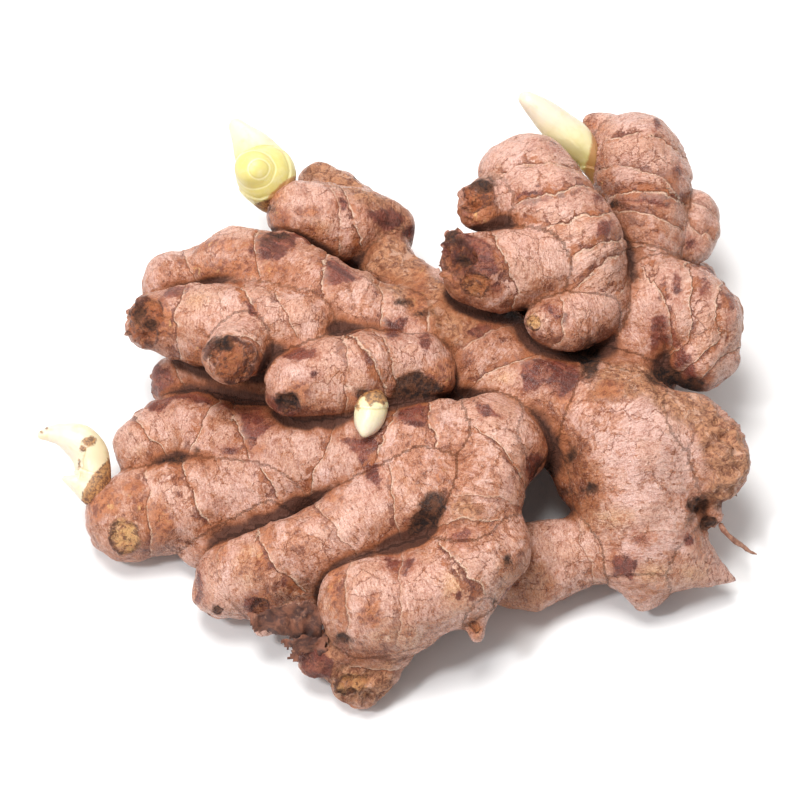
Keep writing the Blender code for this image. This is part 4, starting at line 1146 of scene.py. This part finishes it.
def root_material():
    g = Graph("dry_root_look")
    p = g.place()
    a = g.noise(p, 1.2, 4.0, 0.6)
    col = g.mix(g.step(a, 0.35, 0.65), (0.190, 0.072, 0.042), (0.420, 0.215, 0.140))
    g.put(g.bsdf.inputs["Base Color"], col)
    g.put(g.bsdf.inputs["Roughness"], g.add(0.55, g.mul(a, 0.25)))
    b = g.node("ShaderNodeBump")
    b.inputs["Strength"].default_value = 0.7
    b.inputs["Distance"].default_value = 0.001
    g.put(b.inputs["Height"], g.mul(g.noise(p, 0.5, 3.0), 0.12))
    g.put(g.bsdf.inputs["Normal"], b.outputs[0])
    return g.mat


def floor_material():
    g = Graph("pale_floor")
    p = g.place()
    n = g.noise(p, 180.0, 2.0)
    g.put(g.bsdf.inputs["Base Color"], g.mix(n, (0.86, 0.86, 0.86), (0.89, 0.89, 0.89)))
    g.put(g.bsdf.inputs["Roughness"], g.add(0.55, g.mul(n, 0.1)))
    g.bsdf.inputs["Specular IOR Level"].default_value = 0.2
    return g.mat

# ---------------------------------------------------------------- pieces
def lay_out(x, y, c):
    """Point in table millimetres from plan coordinates and depth towards the eye."""
    k = (1.0 - c / FAR) / 4.0
    a, b = (x - 400) * k, (400 - y) * k
    return np.array([a, b * ST - c * CT, b * CT + c * ST + MID_Z])


def make_rhizome():
    r = grow_rhizome()
    ob = add_mesh("ginger_skin", r["verts"], r["quads"])
    add_values(ob, "ring", np.clip(r["ring"], -9, 9))
    add_values(ob, "power", r["power"])
    for key in ("shut", "darkened", "cave", "deep", "under", "scar", "warm"):
        add_values(ob, key, r[key])
    for key, val in r["marks"].items():
        add_values(ob, key, np.clip(val, -12, 12))
    add_vectors(ob, "fib", r["fib"])
    ob.data.materials.append(skin_material())
    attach(ob, "root")
    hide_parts("rhizome")
    return ob, r


# The shoots as they look: balls (x, y, radius in plan units, depth in mm).
BUDS = {
    "shoot_upper_left": [[(276, 190, 24, -28), (270, 176, 26, -27), (260, 159, 21.5, -27), (250, 145, 15, -27.5),
                          (243, 135, 10.5, -28), (239.5, 130.5, 8.2, -28)],
                         [(276, 196, 22, -24), (269, 180, 30, -22)], [(258, 173, 20, -18)]],
    "shoot_upper_right": [[(602, 192, 7, -21), (597, 178, 10, -20.5), (588, 160, 15, -20), (574, 144, 18.5, -19.5),
                           (556, 129, 17, -19), (541, 115, 13, -18), (530, 106, 9, -17), (526, 103, 7.5, -17)]],
    "shoot_left": [[(100, 494, 15, 3), (99, 474, 17, 2), (95, 456, 18, 1.5), (84, 443, 17.5, 1.5), (70, 437, 12.5, 2),
                    (57, 435.5, 8.5, 2), (47, 437, 4.5, 2.3)],
                   [(92, 490, 12, 4), (80, 484, 7, 4.5), (70, 480, 3, 4.5)]],
    "shoot_small": [[(380, 386, 10, 13), (376, 398, 11, 16), (374, 410, 15.5, 20), (371, 421, 14, 22),
                     (368, 430, 8, 23.5), (367, 434, 5, 24)]],
}


def make_shoot(name, mat, rhizome):
    parts = [[(*lay_out(x, y, c), r / 4.0) for x, y, r, c in q] for q in BUDS[name]]
    parts = [q if len(q) > 1 else q + [(q[0][0], q[0][1], q[0][2] + 0.3, q[0][3])] for q in parts]
    runs = [spine(q, 0.5) for q in parts]
    h = 0.36
    allp = np.concatenate(runs)
    lo = (allp[:, :3] - allp[:, 3:]).min(0) - 3
    hi = (allp[:, :3] + allp[:, 3:]).max(0) + 3
    grid = field(runs, [1.2] * len(runs), lo, hi, h)
    # seat: keep clear of the skin it grows out of
    n = grid.shape
    ax = [lo[i] + h * np.arange(n[i]) for i in range(3)]
    pts = np.stack(np.meshgrid(*ax, indexing="ij"), -1).reshape(-1, 3)
    inner = sample(rhizome["grid"], rhizome["lo"], STEP, pts).reshape(n)
    grid = np.maximum(grid, -(inner + 1.1)).astype(np.float32)
    verts, quads = surface(grid, lo, h)
    verts, quads = biggest(verts, quads)
    verts = relax(verts, quads, grid, lo, h, 2)
    nrm = normals(verts, quads)
    info = along(verts, [name] * len(runs), runs)
    px, py, c = plan(verts)
    length = max(np.linalg.norm(np.diff(runs[0][:, :3], axis=0), axis=1).sum(), 1.0)
    tip = np.where(info["lobe"] == 0, info["s"] / length, 0.15)
    near = sample(rhizome["grid"], rhizome["lo"], STEP, verts)
    foot = ramp(near, 2.6, 0.3)
    edge = np.full(len(verts), 5.0)
    pink = np.zeros(len(verts))
    stain = np.full(len(verts), -5.0)
    lift = 0.12 * noise(verts, 5.0, 61) + 0.03 * noise(verts, 1.6, 62)
    wob = 0.25 * noise(verts, 2.5, 63)

    def collar(d, height, fall=2.2):
        """A sheath edge: the outer leaf ends at d = 0, the inner one goes on."""
        nonlocal edge, lift
        edge = np.where(np.abs(d) < np.abs(edge), d, edge)
        lift = lift + np.where(d < 0, height * np.exp(d / fall), -height * 0.3 * np.exp(-d / 0.5))

    if name == "shoot_upper_left":
        ball = info["lobe"] > 0
        q = np.hypot((px - 261) * 0.92, (py - 172)) / 4.0
        ang = np.arctan2(py - 172, px - 261)
        for rad, ht, turn, squash in ((2.5, 0.07, 0.6, 0.45), (4.7, 0.07, -0.9, 0.9), (6.7, 0.28, 0.7, 1.0)):
            d = (rad + squash * np.sin(ang + turn) + wob * 0.6) - q
            fade = ramp(np.cos(ang - 0.8), -0.9, 0.4) if rad > 4 else 1.0
            d = np.where(ball & (nrm @ TOWARDS > -0.1), d, 5.0)
            edge = np.where(np.abs(d) < np.abs(edge), d, edge)
            lift = lift + ht * fade * np.where(d < 0, np.exp(d / 1.4), -0.3 * np.exp(-d / 0.5))
        tip = np.where(ball, 0.02 + 0.10 * ramp(q, 8.0, 0.0), 0.15 + 0.85 * ramp(py, 172, 128))
        tip = np.maximum(tip, 0.6 * ramp(q, 6.0, 10.0) * ramp(py, 190, 150))
        pink = ramp(np.hypot((px - 288) / 5, (py - 152) / 7), 1.2, 0.3)
        pink = np.maximum(pink, 0.5 * ramp(np.hypot((px - 239) / 6, (py - 198) / 6), 1.2, 0.3))
        stain = inside_of([[(250, 212), (262, 205), (278, 200), (291, 190), (302, 174), (312, 176), (302, 196),
                            (286, 212), (266, 222), (250, 218)]], px, py)
    elif name == "shoot_upper_right":
        d = info["s"] - 5.5 + 2.6 * info["t"] + wob
        collar(d, 0.35, 3.0)
        d = (px - 596) / 4.0 + wob * 0.6
        d = np.where(py > 150, d, 5.0)
        collar(d, 0.18, 2.0)
        tip = ramp(py, 185, 100)
        pink = 0.5 * ramp(np.hypot((px - 601) / 4, (py - 170) / 14), 1.2, 0.3)
        stain = inside_of([(602, 193, 9, 8), (604, 180, 3, 6)], px, py)
    elif name == "shoot_left":
        d = (px - 88) / 4.0 + wob + 0.04 * (py - 455)
        d = np.where((py > 450) & (py < 480), d, 5.0)
        collar(d, 0.30, 2.0)
        flap = info["lobe"] == 1
        d = np.where(flap, 5.0, info["s"] - 4.5 + 1.5 * info["t"] + wob)
        collar(d, 0.30, 2.0)
        stain = inside_of([(94, 443, 8, 6), (88, 450, 4, 4), (47, 434, 2, 2), (52, 430, 2, 2), (85, 464, 2, 6),
                           [(84, 505), (88, 490), (96, 478), (106, 466), (114, 458), (122, 470), (118, 490),
                            (100, 508)]], px, py)
        tip = 0.60 + 0.40 * ramp(px, 110, 55)
        pink = 0.25 * ramp(np.hypot((px - 100) / 16, (py - 470) / 20), 1.2, 0.3)
    else:
        d = 1.3 - (py - 404) / 4.0 + wob
        collar(-d, 0.25, 1.2)
        stain = inside_of([[(356, 396), (366, 400), (372, 410), (379, 404), (386, 409), (392, 400), (388, 388),
                            (360, 386)], (360, 408, 3, 5)], px, py)
        tip = 0.55 + 0.30 * ramp(py, 405, 436)
    verts = verts + nrm * lift[:, None]
    ob = add_mesh(name + "_look", verts, quads)
    add_values(ob, "tip", np.clip(tip, 0, 1))
    add_values(ob, "edge", edge)
    add_values(ob, "foot", foot)
    add_values(ob, "pink", pink)
    add_values(ob, "stain", np.clip(stain, -6, 6))
    fib = np.stack([info["s"], np.arctan2(info["t"], info["w"]) * info["r"], info["lobe"] * 9.0], 1)
    add_vectors(ob, "fib", fib)
    ob.data.materials.append(mat)
    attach(ob, "root")
    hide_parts(name)
    return ob


def make_sheet(name, outline, depth, lean, crumple, mat, seed, thick=0.28, cell=2.2):
    """Torn papery scrap: an outline in plan, laid at a depth and crumpled."""
    o = np.array(outline, float)
    x0, y0 = o.min(0) - 3
    x1, y1 = o.max(0) + 3
    nx, ny = int((x1 - x0) / cell) + 1, int((y1 - y0) / cell) + 1
    gx, gy = np.meshgrid(x0 + cell * np.arange(nx + 1), y0 + cell * np.arange(ny + 1), indexing="ij")
    cx, cy = gx[:-1, :-1] + cell / 2, gy[:-1, :-1] + cell / 2
    q = np.stack([cx.ravel(), cy.ravel(), np.full(cx.size, seed * 5.0)], 1)
    ins = inside_of([outline], cx.ravel(), cy.ravel()) + 0.5 * noise(q, 7.0, seed, 2)
    ok = (ins > 0).reshape(cx.shape)
    # one connected scrap only: grow from its deepest cell
    start = np.unravel_index(np.where(ok, ins.reshape(cx.shape), -9).argmax(), ok.shape)
    body, todo = {start}, [start]
    while todo:
        i, j = todo.pop()
        for m in ((i + 1, j), (i - 1, j), (i, j + 1), (i, j - 1)):
            if 0 <= m[0] < ok.shape[0] and 0 <= m[1] < ok.shape[1] and ok[m] and m not in body:
                body.add(m)
                todo.append(m)
    # fill corner-only contacts so that the rim stays clean
    changed = True
    while changed:
        changed = False
        for i, j in list(body):
            for di in (-1, 1):
                for dj in (-1, 1):
                    if (i + di, j + dj) in body and (i + di, j) not in body and (i, j + dj) not in body:
                        body.add((i + di, j))
                        changed = True
    index, verts, faces = {}, [], []

    def vert(i, j, side):
        key = (i, j, side)
        if key not in index:
            x, y = gx[i, j], gy[i, j]
            w = np.array([[x, y, seed * 11.0]])
            x2 = x + 2.0 * noise(w, 9.0, seed + 1)[0]
            y2 = y + 2.0 * noise(w, 9.0, seed + 2)[0]
            c = depth + lean[0] * (x - o[:, 0].mean()) / 4 + lean[1] * (y - o[:, 1].mean()) / 4
            c += crumple * (noise(w, 16.0, seed + 3)[0] + 0.5 * noise(w, 7.0, seed + 4)[0])
            index[key] = len(verts)
            verts.append(lay_out(x2, y2, c + (thick / 2 if side else -thick / 2)))
        return index[key]

    for i, j in sorted(body):
        faces.append([vert(i, j, 1), vert(i, j + 1, 1), vert(i + 1, j + 1, 1), vert(i + 1, j, 1)])
        faces.append([vert(i, j, 0), vert(i + 1, j, 0), vert(i + 1, j + 1, 0), vert(i, j + 1, 0)])
        for (di, dj), (a, b) in (((-1, 0), ((i, j), (i, j + 1))), ((1, 0), ((i + 1, j + 1), (i + 1, j))),
                                 ((0, -1), ((i + 1, j), (i, j))), ((0, 1), ((i, j + 1), (i + 1, j + 1)))):
            if (i + di, j + dj) not in body:
                faces.append([vert(*a, 1), vert(*a, 0), vert(*b, 0), vert(*b, 1)])
    verts = np.array(verts)
    verts[:, 2] = np.maximum(verts[:, 2], 0.05)
    ob = add_mesh(name, verts, faces)
    ob.data.materials.append(mat)
    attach(ob, "root")
    return ob


def make_rootlet(mat):
    run = spine(ROOTLET, 0.35)
    sides = 14
    c, r = run[:, :3].copy(), run[:, 3] * 0.95
    tan = np.gradient(c, axis=0)
    tan /= np.linalg.norm(tan, axis=1)[:, None]
    c += 0.16 * np.stack([noise(c, 3.0, 71), noise(c, 3.0, 72), noise(c, 3.0, 73)], 1)
    r = r * (1 + 0.18 * noise(c, 1.4, 74))
    r[-6:] *= np.linspace(1, 0.35, 6)
    side = np.cross(tan[0], [0, 0, 1.0])
    verts, faces = [], []
    for i in range(len(c)):
        side = side - tan[i] * (side @ tan[i])
        side /= np.linalg.norm(side)
        up = np.cross(tan[i], side)
        for k in range(sides):
            a = 2 * math.pi * k / sides
            rr = r[i] * (1 + 0.08 * math.sin(3 * a + i * 0.2))
            verts.append(c[i] + rr * (math.cos(a) * side + math.sin(a) * up))
    for i in range(len(c) - 1):
        for k in range(sides):
            m = (k + 1) % sides
            faces.append([i * sides + k, i * sides + m, (i + 1) * sides + m, (i + 1) * sides + k])
    verts.append(c[0] - tan[0] * r[0] * 0.6)
    verts.append(c[-1] + tan[-1] * r[-1] * 0.9)
    n = len(verts)
    for k in range(sides):
        m = (k + 1) % sides
        faces.append([n - 2, m, k])
        faces.append([n - 1, (len(c) - 1) * sides + k, (len(c) - 1) * sides + m])
    ob = add_mesh("rootlet_look", np.array(verts), faces)
    ob.data.materials.append(mat)
    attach(ob, "root")
    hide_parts("rootlet")
    return ob


def area_light(name, place, aim, size, power, colour=(1, 1, 1)):
    data = bpy.data.lights.new(name, "AREA")
    data.shape = "RECTANGLE"
    data.size, data.size_y = size
    data.energy = power
    data.color = colour
    ob = bpy.data.objects.new(name, data)
    ob.location = place
    ob.rotation_euler = (Vector(aim) - Vector(place)).to_track_quat("-Z", "Y").to_euler()
    bpy.context.collection.objects.link(ob)
    return ob


def stage():
    mesh = bpy.data.meshes.new("floor")
    mesh.from_pydata([(-4, -4, 0), (4, -4, 0), (4, 4, 0), (-4, 4, 0)], [], [(0, 1, 2, 3)])
    floor = bpy.data.objects.new("floor", mesh)
    floor.location.z = -0.0002
    bpy.context.collection.objects.link(floor)
    mesh.materials.append(floor_material())
    area_light("key", (-0.12, 0.05, 1.05), (0, 0, 0.02), (0.42, 0.42), 10.3, (1.0, 0.99, 0.975))
    area_light("back", (0.10, 0.85, 0.70), (0, 0, 0.02), (0.8, 0.5), 4.5, (1.0, 0.985, 0.97))
    area_light("fill", (-0.80, -0.55, 0.50), (0, 0, 0.02), (0.8, 0.8), 1.6, (0.96, 0.98, 1.0))
    area_light("glint", (-0.42, -0.30, 0.80), (0, 0, 0.02), (0.12, 0.12), 3.8, (0.97, 0.98, 1.0))
    world = bpy.data.worlds.new("studio")
    world.use_nodes = True
    bg = world.node_tree.nodes["Background"]
    bg.inputs[0].default_value = (1.0, 1.0, 1.0, 1.0)
    bg.inputs[1].default_value = 0.38
    bpy.context.scene.world = world
    cam = bpy.data.cameras.new("camera")
    cam.lens = FAR / 198.0 * 36.0
    cam.sensor_width = 36.0
    cam.clip_end = 20.0
    ob = bpy.data.objects.new("camera", cam)
    mid = (np.array([0.5, -0.5 * ST, MID_Z - 0.5 * CT]) + SHIFT) * MM
    ob.location = Vector(mid) + Vector(TOWARDS) * FAR * MM
    ob.rotation_euler = (math.radians(90) - TILT, 0.0, 0.0)
    bpy.context.collection.objects.link(ob)
    bpy.context.scene.camera = ob
    vs = bpy.context.scene.view_settings
    vs.view_transform = "Standard"
    vs.look = "None"


skin, rhizome = make_rhizome()
shoot_mat = shoot_material()
for shoot in SHOOTS:
    make_shoot(shoot, shoot_mat, rhizome)
husk_mat = husk_material()
make_sheet("husk_scrap_1", [(252, 612), (290, 606), (312, 600), (330, 612), (322, 640), (300, 636), (286, 634), (268, 632),
                            (258, 626)], 27.0, (0.1, -0.4), 1.2, husk_mat, 81)
make_sheet("husk_scrap_2", [(284, 640), (312, 634), (330, 636), (326, 658), (306, 652), (298, 662), (290, 656), (300, 648),
                            (288, 650)], 27.0, (0.0, -0.4), 1.0, husk_mat, 91)
make_rootlet(root_material())
stage()
